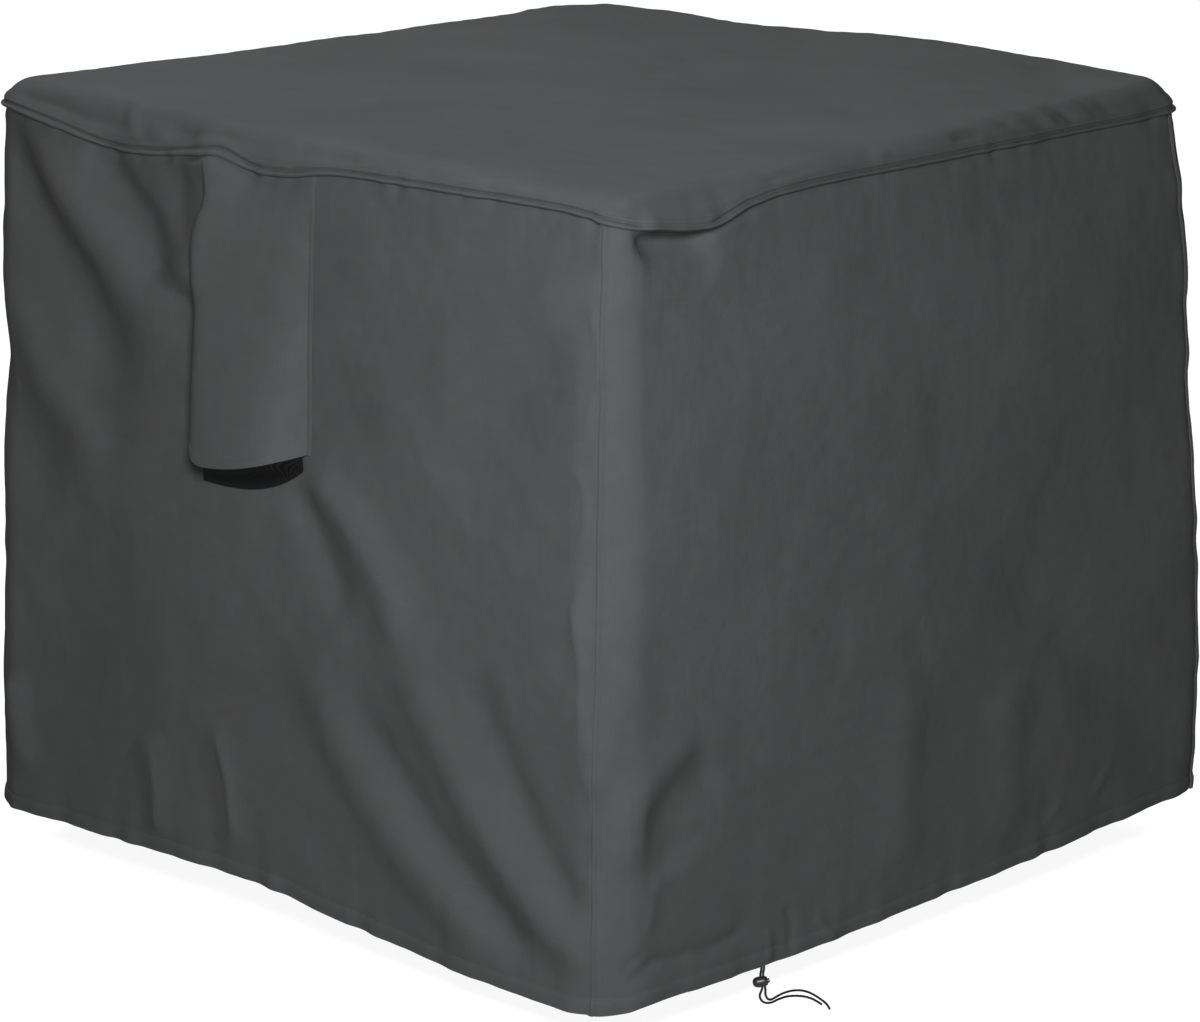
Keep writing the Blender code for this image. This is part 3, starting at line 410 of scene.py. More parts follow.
def side_relief(around, below):
    height = near_folds(FOLDS, fold_height, around, below, FOLD_REACH)
    for swell in SWELLS:
        height += swell_height(swell, nearest_turn(around, swell.middle[0]), below)
    return height * ease(-RIM_ARC, 0, below)


def drop_along(around, levels):
    path = smooth_path(levels, PATH_STEPS)
    return np.interp(around % 4, path[:, 0], path[:, 1], period=4)


def line_drop(around, below):
    near_seam = ease(-RIM_ARC, 0, below) * (1 - ease(0, SEAM_LINE_REACH, below))
    near_hem = ease(HEM_LINE_FROM, 1, below / SKIRT)
    return drop_along(around, SEAM_LINE) * near_seam + drop_along(around, HEM_LINE) * near_hem


def corner_shift(x, y, half, below):
    across, along = np.clip(x / half, -1, 1), np.clip(y / half, -1, 1)
    edge = np.maximum(abs(across), abs(along)) ** 2 * np.clip(half / TOP_EDGE, 0, 1) ** 2
    down = np.clip(below / SKIRT, 0, 1)[..., None]
    total = np.zeros(x.shape + (3,))
    for corner in CORNERS:
        weight = edge * (1 + corner.x * across) * (1 + corner.y * along) / 4
        shift = np.array(corner.at_seam) * (1 - down) + np.array(corner.at_hem) * down
        outward = np.array([corner.x, corner.y, 0]) * corner.belly / math.sqrt(2)
        total += weight[..., None] * (shift + outward * (1 - (2 * down - 1) ** 4))
    return total


def rounded_square(around, half, radius):
    """X, Y and the outward normal's X, Y on a square with rounded corners."""
    side = np.floor(around)
    along = (around - side) * 2 * half
    to_corner = np.minimum(along, 2 * half - along)
    turn = np.clip(1 - to_corner / radius, 0, 1) * math.pi / 4
    toward = np.where(along < half, -1, 1)
    bent = turn > 0
    u = np.where(bent, toward * (half - radius + radius * np.sin(turn)), along - half)
    v = np.where(bent, half - radius + radius * np.cos(turn), half)
    cosine, sine = np.cos(side * math.pi / 2), np.sin(side * math.pi / 2)
    normal_u, normal_v = toward * np.sin(turn), np.cos(turn)
    return (
        u * cosine + v * sine,
        u * sine - v * cosine,
        normal_u * cosine + normal_v * sine,
        normal_u * sine - normal_v * cosine,
    )


def cover_surface(around, below):
    """Points on the middle of the cloth, and the outward directions in which its layers are stacked."""
    around, below = np.broadcast_arrays(np.asarray(around, float), np.asarray(below, float))
    roll = np.clip(-below / RIM_RADIUS, 0, math.pi / 2)
    flat = np.clip(-below - RIM_ARC, 0, None)
    down = np.clip(below, 0, None)
    inset = RIM_RADIUS * (1 - np.cos(roll)) + flat - FLARE * down / SKIRT
    half = np.maximum(WIDTH / 2 - inset, 1e-6)
    radius = SEAM_CORNER + (HEM_CORNER - SEAM_CORNER) * down / SKIRT
    radius = np.where(roll > 0, SEAM_CORNER - 0.7 * RIM_RADIUS * (1 - np.cos(roll)), radius)
    radius = radius * np.clip(half / TOP_EDGE, 0, 1)
    x, y, normal_x, normal_y = rounded_square(around, half, radius)
    z = CLOTH / 2 - RIM_RADIUS * (1 - np.sin(roll)) - down
    points = np.stack([x, y, z - line_drop(around, below)], axis=-1)
    outward = np.stack([normal_x * np.cos(roll), normal_y * np.cos(roll), np.sin(roll)], axis=-1)
    points += outward * side_relief(around, below)[..., None]
    flatness = ease(0.3 * RIM_ARC, RIM_ARC, -below)
    spots = np.stack([x, y], axis=-1).reshape(-1, 2)
    for fold in TOP_FOLDS:
        points[..., 2] += flatness * fold_height(fold, spots, 1).reshape(x.shape)
    for swell in TOP_SWELLS:
        points[..., 2] += flatness * swell_height(swell, x, y)
    return points + corner_shift(x, y, half, below), outward


# ---- Finer relief on that surface ----


def ruffle_height(ruffle, around, below):
    """Smooth seeded unevenness, from about -1 to 1 times the ruffle's height."""
    lattice = np.random.default_rng(ruffle.seed).uniform(-1, 1, (LATTICE_ROWS, ruffle.lumps))
    across, down = around % 4 / 4 * ruffle.lumps, below / ruffle.rows_apart + LATTICE_ROWS // 2
    column, row = np.floor(across).astype(int), np.floor(down).astype(int)
    sideways, lengthways = ease(0, 1, across - column), ease(0, 1, down - row)
    left, right = column % ruffle.lumps, (column + 1) % ruffle.lumps
    upper, lower = (
        lattice[line % LATTICE_ROWS, left] * (1 - sideways) + lattice[line % LATTICE_ROWS, right] * sideways
        for line in (row, row + 1)
    )
    return ruffle.height * (upper * (1 - lengthways) + lower * lengthways)


def corner_puckers(around, below):
    """Short puckers that cross the upright seams, strongest on the seam."""
    total = np.zeros(around.shape)
    for side in range(4):
        apart = (nearest_turn(around, side) - side + CORNER_SEAM - LAP_AROUND / 2) * WIDTH
        row = Ruffle(4, CORNER_PUCKER_SPACING, CORNER_PUCKER, CORNER_PUCKER_SEED + side)
        height = ruffle_height(row, np.full(around.shape, 0.5), below + CORNER_PUCKER_SLANT * abs(apart))
        total += height * hump(apart, 0, CORNER_PUCKER_REACH)
    return total * ease(0.0, 0.03, below)


def hem_relief(around, below):
    """The hem tunnel: the gathers of its drawcord, the cord's bulge and the stitched line above it."""
    above_hem = SKIRT - below
    gather = ruffle_height(HEM_GATHER, around, np.zeros_like(below)) * np.exp(-above_hem / HEM_GATHER_REACH)
    inside = np.clip(above_hem / HEM_TUNNEL, 0, 1)
    stitched = hump(above_hem, HEM_TUNNEL, HEM_STITCH_REACH)
    return gather + HEM_BULGE * np.sin(math.pi * inside) - HEM_STITCH_SINK * stitched


def fine_relief(around, below):
    """All the relief that the solids leave out, along the outward direction."""
    on_side = ease(-RIM_ARC, 0, below)
    height = near_folds(CREASES, crease_height, around, below, CREASE_REACH) * ease(-0.01, 0.01, below)
    on_rim = ease(-1.6 * RIM_ARC, -RIM_ARC, below) * (1 - ease(-0.006, 0.004, below))
    height += near_folds(RIM_CREASES, crease_height, around, below, RIM_CREASE_REACH) * on_rim
    height += ruffle_height(DRAPE, around, below) * ease(0, DRAPE_FADE, below) * on_side
    height += ruffle_height(RUMPLE, around, below) * (RIM_SHARE + (1 - RIM_SHARE) * on_side)
    height += ruffle_height(CRUMPLE, around, below)
    slack = 1 + ruffle_height(SLACKNESS, around, np.zeros_like(below))
    height += ruffle_height(SEAM_PUCKER, around, below) * slack * np.exp(-abs(below) / SEAM_PUCKER_REACH)
    height += corner_puckers(around, below) + hem_relief(around, below)
    height -= SEAM_TUCK * hump(below, SEAM_TUCK_AT, SEAM_TUCK_REACH) * ease(0, SEAM_TUCK_AT / 2, below)
    return height * (1 - ease(0.8 * RIM_ARC, 1.2 * RIM_ARC, -below))


def top_rumple(points):
    """Soft unevenness of the flat top, which fades out over the rim."""
    x, y = points[..., 0], points[..., 1]
    reach = np.maximum(abs(x), abs(y))
    total = sum(ruffle_height(rumple, (x + WIDTH) / WIDTH, y) for rumple in TOP_RUMPLES)
    return total * (1 - ease(TOP_EDGE, WIDTH / 2, reach))


def cloth_surface(around, below, share=1.0):
    """The cover's surface with its finer relief, or with a share of it."""
    around, below = np.broadcast_arrays(np.asarray(around, float), np.asarray(below, float))
    points, outward = cover_surface(around, below)
    return points + outward * (share * fine_relief(around, below))[..., None], outward


# ---- Layers of the pieces ----


def lap_over_corner(around):
    place = nearest_turn(around, 2) % 1
    before = np.where(place > 0.5, place - 1, place)
    return np.where(before > -CORNER_SEAM - 1e-6, 1 - ease(LAP_AROUND - CORNER_SEAM, 0.02, before), 0)


def side_skin(side, around, below):
    """The middle of a side panel's cloth, its outward direction and its thickness."""
    points, outward = cloth_surface(around, below)
    thickness = CLOTH + (HEM_CLOTH - CLOTH) * ease(-0.002, 0.001, below - SKIRT + HEM_TUNNEL)
    own = np.where(around < side + 0.5, lap_over_corner(around), 0)
    return points + outward * (own * (thickness + GAP))[..., None], outward, thickness


def top_skin(around, below):
    """The middle of the top panel's cloth, over the side panels, the corner seams and the hood."""
    points, outward = cloth_surface(around, below)
    points[..., 2] += top_rumple(points)
    place = (around + 0.5) % 1 - 0.5
    over_corner = np.where(place < -CORNER_SEAM, ease(-0.05, -CORNER_SEAM, place), lap_over_corner(around))
    left, right = ease(VENT_LEFT - CLIMB, VENT_LEFT, around), ease(VENT_RIGHT, VENT_RIGHT + CLIMB, around)
    layers = (1 + over_corner + left * (1 - right)) * ease(-2 * LAP, -LAP, below)
    lift = layers * (CLOTH + GAP) + welt(-below, TOP_WELT) * ease(-2 * LAP, -1.2 * LAP, below)
    return points + outward * lift[..., None], outward


def welt(from_edge, beads):
    """The section of a doubled seam: sunk stitch lines with rolls between them."""
    return sum(bead.height * hump(from_edge, bead.middle, bead.width) for bead in beads)


# ---- Making meshes ----


def new_object(name, data):
    made = bpy.data.objects.new(name, data)
    bpy.context.scene.collection.objects.link(made)
    return made


def new_mesh(name, vertices, faces, finish):
    mesh = bpy.data.meshes.new(name)
    mesh.from_pydata(vertices, [], faces)
    mesh.materials.append(finish)
    mesh.shade_smooth()
    return new_object(name, mesh)


def dress(made, node):
    """The piece rides on the cover and is shown for the solid of that node."""
    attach(made, "cover")
    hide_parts(node)


def unit(vectors):
    return vectors / np.linalg.norm(vectors, axis=-1, keepdims=True)


def length_along(path):
    """The distance from the path's start to each of its points."""
    return np.append(0, np.linalg.norm(np.diff(path, axis=0), axis=1).cumsum())


def at_lengths(values, reached, wanted):
    """Three-part values along a path, read at the wanted distances from its start."""
    return np.stack([np.interp(wanted, reached, values[:, axis]) for axis in range(3)], axis=-1)


def closed_sheet(name, points, outward, thickness, faces, edge, places, finish):
    """A closed sheet: two layers about the middle points, joined along the edge, with its own UV map."""
    count = len(points)
    half = outward * np.broadcast_to(thickness, (count,))[:, None] / 2
    vertices = np.concatenate([points + half, points - half])
    start, end = edge[:-1], edge[1:]
    joint = np.stack([start, start + count, end + count, end], axis=-1)
    quads = np.concatenate([faces, faces[:, ::-1] + count, joint])
    made = new_mesh(name, vertices.tolist(), quads.tolist(), finish)
    layer = made.data.uv_layers.new(name="cloth")
    layer.data.foreach_set("uv", np.concatenate([places, places])[quads.ravel()].ravel())
    made.data.set_sharp_from_angle(angle=math.radians(60))
    return made


def grid_faces(index):
    above, below = index[:-1], index[1:]
    return np.stack([above[:, :-1], below[:, :-1], below[:, 1:], above[:, 1:]], axis=-1).reshape(-1, 4)


def grid_sheet(name, points, outward, thickness, places, finish):
    """A closed sheet from a grid of middle points, rows running down and columns around."""
    rows, columns = points.shape[:2]
    index = np.arange(rows * columns).reshape(rows, columns)
    edge = np.concatenate([index[:, 0], index[-1, 1:], index[::-1, -1][1:], index[0, ::-1][1:]])
    return closed_sheet(
        name,
        points.reshape(-1, 3),
        outward.reshape(-1, 3),
        np.broadcast_to(thickness, (rows, columns)).ravel(),
        grid_faces(index),
        edge,
        places.reshape(-1, 2),
        finish,
    )


def grid_normals(points):
    down, across = np.gradient(points, axis=0), np.gradient(points, axis=1)
    return unit(np.cross(down, across))


def spread(start, end, step):
    """Evenly spaced values from start up to, but not including, end."""
    return np.linspace(start, end, max(1, round((end - start) / step)), endpoint=False)


def stitches(name, rows, finish):
    """Short threads along rows of places. Each row is (points, outward) at a fine spacing."""
    turns = np.linspace(0, 2 * math.pi, THREAD_SIDES, endpoint=False)
    ring = np.stack([0 * turns, np.cos(turns), np.sin(turns)], axis=-1) * THREAD / 2 + (0, 0, THREAD_STAND)
    bend, tip = (STITCH_BEND, 0, 0), (STITCH / 2, 0, 0)
    sunk = np.array((0, 0, -THREAD_SINK))
    shape = np.vstack([sunk - tip, ring - bend, ring + bend, sunk + tip])
    vertices = []
    for points, outward in rows:
        reached = length_along(points)
        middles = np.arange(STITCH_SPACING / 2, reached[-1] - STITCH_SPACING / 2, STITCH_SPACING)
        start, middle, end = (at_lengths(points, reached, middles + s) for s in (-STITCH / 2, 0, STITCH / 2))
        along = unit(end - start)
        across = unit(np.cross(along, at_lengths(outward, reached, middles)))
        axes = np.stack([along, across, np.cross(across, along)], axis=1)
        vertices += (middle[:, None] + shape @ axes).reshape(-1, 3).tolist()
    faces = []
    for first in range(0, len(vertices), len(shape)):
        for k in range(THREAD_SIDES):
            a, b = first + 1 + k, first + 1 + (k + 1) % THREAD_SIDES
            c, d = a + THREAD_SIDES, b + THREAD_SIDES
            faces += [(first, b, a), (a, b, d, c), (c, d, first + len(shape) - 1)]
    return new_mesh(name, vertices, faces, finish)


# ---- Materials ----


class Nodes:
    """Makes and links the nodes of one material."""

    def __init__(self, name):
        self.material = bpy.data.materials.new(name)
        self.material.use_nodes = True
        self.tree = self.material.node_tree
        self.shader = self.tree.nodes["Principled BSDF"]

    def feed(self, node, values):
        for place, value in values.items():
            if isinstance(value, bpy.types.NodeSocket):
                self.tree.links.new(value, node.inputs[place])
            else:
                node.inputs[place].default_value = value

    def add(self, kind, values=None, **settings):
        node = self.tree.nodes.new(kind)
        for key, value in settings.items():
            setattr(node, key, value)
        self.feed(node, values or {})
        return node

    def finish(self, values):
        """Feeds the shader and gives the finished material."""
        self.feed(self.shader, values)
        return self.material

    def in_cloth(self):
        """Metres along the piece's own cloth."""
        return self.add("ShaderNodeUVMap", uv_map="cloth").outputs["UV"]

    def in_object(self):
        return self.add("ShaderNodeTexCoord").outputs["Object"]

    def split(self, vector):
        return self.add("ShaderNodeSeparateXYZ", {0: vector}).outputs

    def scaled(self, vector, factors):
        return self.add("ShaderNodeVectorMath", {0: vector, 1: factors}, operation="MULTIPLY").outputs[0]

    def grey(self, tone):
        return self.add("ShaderNodeCombineColor", {0: tone, 1: tone, 2: tone}).outputs[0]

    def math(self, operation, *values):
        return self.add("ShaderNodeMath", dict(enumerate(values)), operation=operation).outputs[0]

    def noise(self, vector, scale, detail=2.0, roughness=0.5):
        values = {"Vector": vector, "Scale": scale, "Detail": detail, "Roughness": roughness}
        return self.add("ShaderNodeTexNoise", values).outputs["Fac"]

    def remap(self, value, low, high, to_low, to_high):
        values = {"Value": value, "From Min": low, "From Max": high, "To Min": to_low, "To Max": to_high}
        return self.add("ShaderNodeMapRange", values).outputs["Result"]

    def vary(self, noise, low, high):
        """A noise, which stays mostly within its span, turned into values from low to high."""
        return self.remap(noise, *NOISE_SPAN, low, high)

    def bump(self, height, distance, strength=1.0, below=None):
        values = {"Height": height, "Distance": distance, "Strength": strength}
        if below is not None:
            values["Normal"] = below
        return self.add("ShaderNodeBump", values).outputs["Normal"]


def plain_weave(nodes, place, pitch):
    """Height of a plain weave, 0 to 1, and 1 where the warp lies on top."""
    split = nodes.split(nodes.scaled(place, (1 / pitch,) * 3))
    waves, cells = [], []
    for axis in (0, 1):
        cell = nodes.math("FLOOR", split[axis])
        within = nodes.math("SUBTRACT", split[axis], cell)
        waves.append(nodes.math("SINE", nodes.math("MULTIPLY", within, math.pi)))
        cells.append(cell)
    warp_over = nodes.math("MODULO", nodes.math("ABSOLUTE", nodes.math("ADD", *cells)), 2.0)
    heights = []
    for crown, bow in (waves, waves[::-1]):
        heights.append(nodes.math("MULTIPLY", crown, nodes.math("MULTIPLY_ADD", bow, 0.5, 0.5)))
    values = {"Factor": warp_over, "A": heights[1], "B": heights[0]}
    return nodes.add("ShaderNodeMix", values, data_type="FLOAT").outputs["Result"], warp_over


def cover_cloth():
    """Coated polyester in a plain weave: dark grey, matt, a little uneven, with painted shade in the dips of
    the weave.
    """
    nodes = Nodes("cover_cloth")
    place, world = nodes.in_cloth(), nodes.in_object()
    weave, warp_over = plain_weave(nodes, place, WEAVE)
    clouds = nodes.noise(world, 3.5, 3.0)
    mottle = nodes.noise(world, 38.0, 3.0, 0.6)
    yarns = []
    for stretch in ((YARN_ACROSS, YARN_ALONG, 1.0), (YARN_ALONG, YARN_ACROSS, 1.0)):
        drawn = nodes.add("ShaderNodeMapping", {"Vector": place, "Scale": stretch}).outputs[0]
        yarns.append(nodes.noise(drawn, 1.0))
    tone = nodes.math("ADD", nodes.vary(clouds, 0.93, 1.06), nodes.vary(mottle, -0.04, 0.04))
    tone = nodes.math("ADD", tone, nodes.remap(nodes.math("ADD", *yarns), 0.7, 1.3, -0.05, 0.05))
    # The tone follows the weave's height: painted shade in the dips between the yarns, lighter on their
    # crowns.
    tone = nodes.math("MULTIPLY", tone, nodes.remap(weave, 0.0, 1.0, 0.90, 1.06))
    mixed = {"Factor": 1.0, "A": (*CLOTH_TONE, 1), "B": nodes.grey(tone)}
    color = nodes.add("ShaderNodeMix", mixed, data_type="RGBA", blend_type="MULTIPLY")
    rough = nodes.math("ADD", nodes.vary(mottle, 0.80, 0.90), nodes.remap(warp_over, 0.0, 1.0, 0.0, 0.03))
    creased = nodes.bump(nodes.noise(world, 55.0, 4.0, 0.55), 0.0011, 0.6)
    return nodes.finish({
        "Base Color": color.outputs["Result"],
        "Roughness": rough,
        "Specular IOR Level": CLOTH_GLOSS,
        "Normal": nodes.bump(weave, 0.00016, 0.7, creased),
    })


def vent_net():
    """Black warp-knitted net with round holes. Its near-black is partly the net's own colour and partly
    painted shade, so it stays as dark as the shadow under the hood.
    """
    nodes = Nodes("vent_net")
    split = nodes.split(nodes.scaled(nodes.in_cloth(), (NET_WAVES, NET_WAVES, 1.0)))
    waves = [nodes.math("SINE", split[axis]) for axis in (0, 1)]
    holes = nodes.remap(nodes.math("MULTIPLY", *waves), -0.1, 0.25, 0.0, 1.0)
    # The holes' darker tone is painted shade of the cover's inside seen through them, and the yarn tone is
    # kept this dark as painted shade under the hood.
    mixed = {"Factor": holes, "A": (0.0040, 0.0040, 0.0042, 1), "B": (0.0006, 0.0006, 0.0006, 1)}
    return nodes.finish({
        "Base Color": nodes.add("ShaderNodeMix", mixed, data_type="RGBA").outputs["Result"],
        "Roughness": nodes.remap(holes, 0.0, 1.0, 0.6, 0.95),
        "Specular IOR Level": 0.04,
        "Normal": nodes.bump(nodes.math("SUBTRACT", 1.0, holes), 0.0005, 0.9),
    })


def sewing_thread():
    nodes = Nodes("sewing_thread")
    ply = nodes.noise(nodes.in_object(), 1400.0, 1.0)
    return nodes.finish({
        "Base Color": nodes.grey(nodes.vary(ply, 0.023, 0.034)),
        "Roughness": 0.50,
        "Specular IOR Level": 0.08,
        "Normal": nodes.bump(ply, 0.0002, 0.6),
    })


def braided_cord():
    """Round black braid: two sets of strands that cross, with a slight shine along them. Its colour is darker
    in the dips between the strands, which is painted shade, and lighter on their crowns.
    """
    nodes = Nodes("braided_cord")
    split = nodes.split(nodes.in_cloth())
    turns = nodes.math("MULTIPLY", split[0], 2 * math.pi * BRAID_STRANDS)
    steps = nodes.math("MULTIPLY", split[1], 2 * math.pi / BRAID_PITCH)
    waves = [nodes.math("SINE", nodes.math(way, turns, steps)) for way in ("ADD", "SUBTRACT")]
    braid = nodes.math("MAXIMUM", *waves)
    # The base colour follows the braid's height: painted shade in the dips between the strands, lighter on
    # their crowns.
    return nodes.finish({
        "Base Color": nodes.grey(nodes.remap(braid, -0.4, 1.0, 0.0015, 0.007)),
        "Roughness": 0.55,
        "Specular IOR Level": 0.06,
        "Normal": nodes.bump(braid, 0.0003, 0.8),
    })


def moulded_plastic():
    """Black plastic with a fine grain, a little worn."""
    nodes = Nodes("moulded_plastic")
    world = nodes.in_object()
    wear = nodes.noise(world, 260.0, 3.0)
    return nodes.finish({
        "Base Color": nodes.grey(nodes.vary(wear, 0.003, 0.006)),
        "Roughness": nodes.vary(wear, 0.34, 0.48),
        "Specular IOR Level": 0.20,
        "Normal": nodes.bump(nodes.noise(world, 2600.0, 2.0), 0.00008, 0.5),
    })


CLOTH_FINISH = cover_cloth()
NET_FINISH = vent_net()
THREAD_FINISH = sewing_thread()
CORD_FINISH = braided_cord()
PLASTIC_FINISH = moulded_plastic()


# ---- Camera ----


def direction(heading, height):
    """The way out to a heading and a height above the horizon, in degrees."""
    heading, height = math.radians(heading), math.radians(height)
    level = math.cos(height)
    return Vector((math.sin(heading) * level, -math.cos(heading) * level, math.sin(height)))


def make_camera():
    back, right = direction(CAMERA_HEADING, CAMERA_HEIGHT), direction(CAMERA_HEADING + 90, 0)
    up = back.cross(right)
    data = bpy.data.cameras.new("camera")
    data.lens = CAMERA_LENS
    data.sensor_width = CAMERA_SENSOR
    data.clip_end = CAMERA_REACH
    camera = new_object("camera", data)
    turn = Matrix((right, up, back)).transposed().to_4x4()
    spot = back * CAMERA_DISTANCE + right * CAMERA_SHIFT[0] + up * CAMERA_SHIFT[1]
    camera.matrix_world = Matrix.Translation(spot) @ turn
    bpy.context.scene.camera = camera


make_camera()

# ---- Drawcord ----
# Routes of the two tails from the hem to their free ends, in metres: to the right along the lock's
# heading, away from a viewer who faces the front corner, and up from the middle of the lock.
ON_FLOOR = LOCK_DROP - FLOOR_DROP + CORD / 2
TAILS = {
    "drawcord_a": (
        (-0.0017, -0.0017, 0.0211), (-0.0021, -0.0012, 0.0155), (-0.0029, -0.0003, 0.0105),
        (-0.0029, 0.0000, 0.0066), (-0.0017, 0.0000, -0.0003), (-0.0005, 0.0000, -0.0072),
        (-0.0010, -0.0001, -0.0110), (-0.0028, -0.0004, -0.0155), (-0.0036, -0.0008, -0.0195),
        (-0.0022, -0.0016, -0.0239), (0.0016, -0.0030, -0.0270), (0.0070, -0.0040, ON_FLOOR),
        (0.0130, -0.0005, ON_FLOOR), (0.0200, 0.0085, ON_FLOOR), (0.0310, 0.0185, ON_FLOOR),
        (0.0426, 0.0215, ON_FLOOR), (0.0542, 0.0188, ON_FLOOR), (0.0632, 0.0114, ON_FLOOR),
        (0.0696, 0.0015, ON_FLOOR), (0.0747, -0.0084, ON_FLOOR),
    ),
    "drawcord_b": (
        (0.0017, 0.0017, 0.0211), (0.0013, 0.0012, 0.0155), (0.0005, 0.0003, 0.0105),
        (0.0005, 0.0000, 0.0072), (0.0017, 0.0000, 0.0003), (0.0029, 0.0000, -0.0066),
        (0.0035, 0.0003, -0.0110), (0.0036, 0.0010, -0.0160), (0.0046, 0.0020, -0.0210),
        (0.0074, 0.0040, -0.0256), (0.0116, 0.0086, ON_FLOOR), (0.0175, 0.0170, ON_FLOOR),
        (0.0272, 0.0305, ON_FLOOR), (0.0390, 0.0395, ON_FLOOR), (0.0503, 0.0407, ON_FLOOR),
        (0.0606, 0.0337, ON_FLOOR), (0.0696, 0.0195, ON_FLOOR), (0.0765, 0.0050, ON_FLOOR),
        (0.0813, -0.0080, ON_FLOOR), (0.0843, -0.0240, ON_FLOOR),
    ),
}
CORD_SIDES, CORD_STEPS = 16, 16
CORD_TIP = 0.15 * CORD  # how far its bare ends are domed
LOCK_MIDDLE = cover_surface(CORD_AROUND, SKIRT)[0] - np.array([0, 0, LOCK_DROP])


def evenly_spaced(path, spacing):
    reached = length_along(path)
    wanted = np.linspace(0, reached[-1], round(reached[-1] / spacing) + 1)
    return at_lengths(path, reached, wanted), reached[-1]


def tail(name, route):
    """One tail as a tube, with its UV map running once around and in metres along."""
    cosine, sine = math.cos(LOCK_HEADING), math.sin(LOCK_HEADING)
    world = LOCK_MIDDLE + np.array(route) @ [(cosine, sine, 0), (-sine, cosine, 0), (0, 0, 1)]
    path, length = evenly_spaced(smooth_path(world, CORD_STEPS), CORD / 3)
    forward = unit(np.gradient(path, axis=0))
    side = np.cross(forward[0], [0.3, 0.2, 0.9])
    rings, angles = [], np.linspace(0, 2 * math.pi, CORD_SIDES, endpoint=False)
    for spot, ahead in zip(path, forward):
        side = unit(side - ahead * (side @ ahead))
        ring = np.outer(np.cos(angles), side) + np.outer(np.sin(angles), np.cross(ahead, side))
        rings.append(spot + ring * CORD / 2)
    tips = [path[0] - forward[0] * CORD_TIP, path[-1] + forward[-1] * CORD_TIP]
    index = np.arange(len(path) * CORD_SIDES).reshape(-1, CORD_SIDES)
    looped = np.hstack([index, index[:, :1]])
    first, last = looped[[0, -1]].tolist()
    faces = grid_faces(looped)[:, ::-1].tolist()
    faces += [(b, a, index.size) for a, b in zip(first, first[1:])]
    faces += [(a, b, index.size + 1) for a, b in zip(last, last[1:])]
    made = new_mesh(name + "_braid", np.vstack([*rings, tips]).tolist(), faces, CORD_FINISH)
    layer = made.data.uv_layers.new(name="cloth")
    spacing = length / (len(path) - 1)
    for polygon in made.data.polygons:
        closes = any(vertex % CORD_SIDES == CORD_SIDES - 1 for vertex in polygon.vertices)
        for loop, vertex in zip(polygon.loop_indices, polygon.vertices):
            ring, turn = divmod(vertex, CORD_SIDES)
            turn += CORD_SIDES * (closes and turn == 0)
            layer.data[loop].uv = (turn / CORD_SIDES, ring * spacing)
    dress(made, name)


for name, route in TAILS.items():
    tail(name, route)

for name in ("cord_lock_body", "cord_lock_plunger"):
    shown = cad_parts[name]
    shown.data.materials.clear()
    shown.data.materials.append(PLASTIC_FINISH)


# ---- Cloth pieces ----

SIDES = ("front", "right", "back", "left")
SIDE_CELLS = (FRONT_CELL, RIGHT_CELL, HIDDEN_CELL, HIDDEN_CELL)
# Columns and rows across the two seams, in metres from the free edge of the lap.
CORNER_LIP = (
    0.0000, 0.0006, 0.0014, 0.0020, 0.0027, 0.0038, 0.0050, 0.0062, 0.0074, 0.0086, 0.0098, 0.0107,
)
TOP_LIP = (
    0.0000, 0.0005, 0.0012, 0.0020, 0.0028, 0.0036, 0.0046, 0.0055, 0.0062, 0.0069,
    0.0078, 0.0086, 0.0094, 0.0102, 0.0111, 0.0119, 0.0126, 0.0133, 0.0145,
)


def side_panel(side):
    """One side panel, from where it laps over the one before to where the next one laps over it."""
    cell = SIDE_CELLS[side]
    seam = side - CORNER_SEAM
    around = np.concatenate([
        seam + np.array(CORNER_LIP) / WIDTH,
        spread(seam + LAP_AROUND, seam + 1, cell / WIDTH),
        [seam + 1, seam + 1 + LAP_AROUND / 2, seam + 1 + LAP_AROUND],
    ])
    tunnel = SKIRT - HEM_TUNNEL
    below = np.concatenate([
        [-LAP, -LAP / 2],
        spread(0, tunnel + TUNNEL_ROWS[0], cell),
        tunnel + np.array(TUNNEL_ROWS),
        spread(tunnel - TUNNEL_ROWS[0], SKIRT, HEM_CELL),
        [SKIRT],
    ])
    around, below = np.meshgrid(around, below)
    points, outward, thickness = side_skin(side, around, below)
    lapped = (around - seam) * WIDTH
    points = points + outward * (welt(lapped, CORNER_WELT) * (lapped < LAP) * ease(0, 0.01, below))[..., None]
    places = np.stack([around * WIDTH, -below], axis=-1)
    made = grid_sheet(SIDES[side] + "_cloth", points, outward, thickness, places, CLOTH_FINISH)
    dress(made, SIDES[side] + "_panel")


def square_places(across, along):
    """The around and below of places on the flat top, from -1 to 1 across its width and its length."""
    reach = np.maximum(np.maximum(abs(across), abs(along)), 1e-9)
    u, v = across / reach, along / reach
    around = np.select(
        [v <= -1 + 1e-9, u >= 1 - 1e-9, v >= 1 - 1e-9],
        [(u + 1) / 2, 1 + (v + 1) / 2, 2 + (1 - u) / 2],
        3 + (1 - v) / 2,
    )
    return around % 4, -RIM_ARC - (1 - reach) * TOP_EDGE


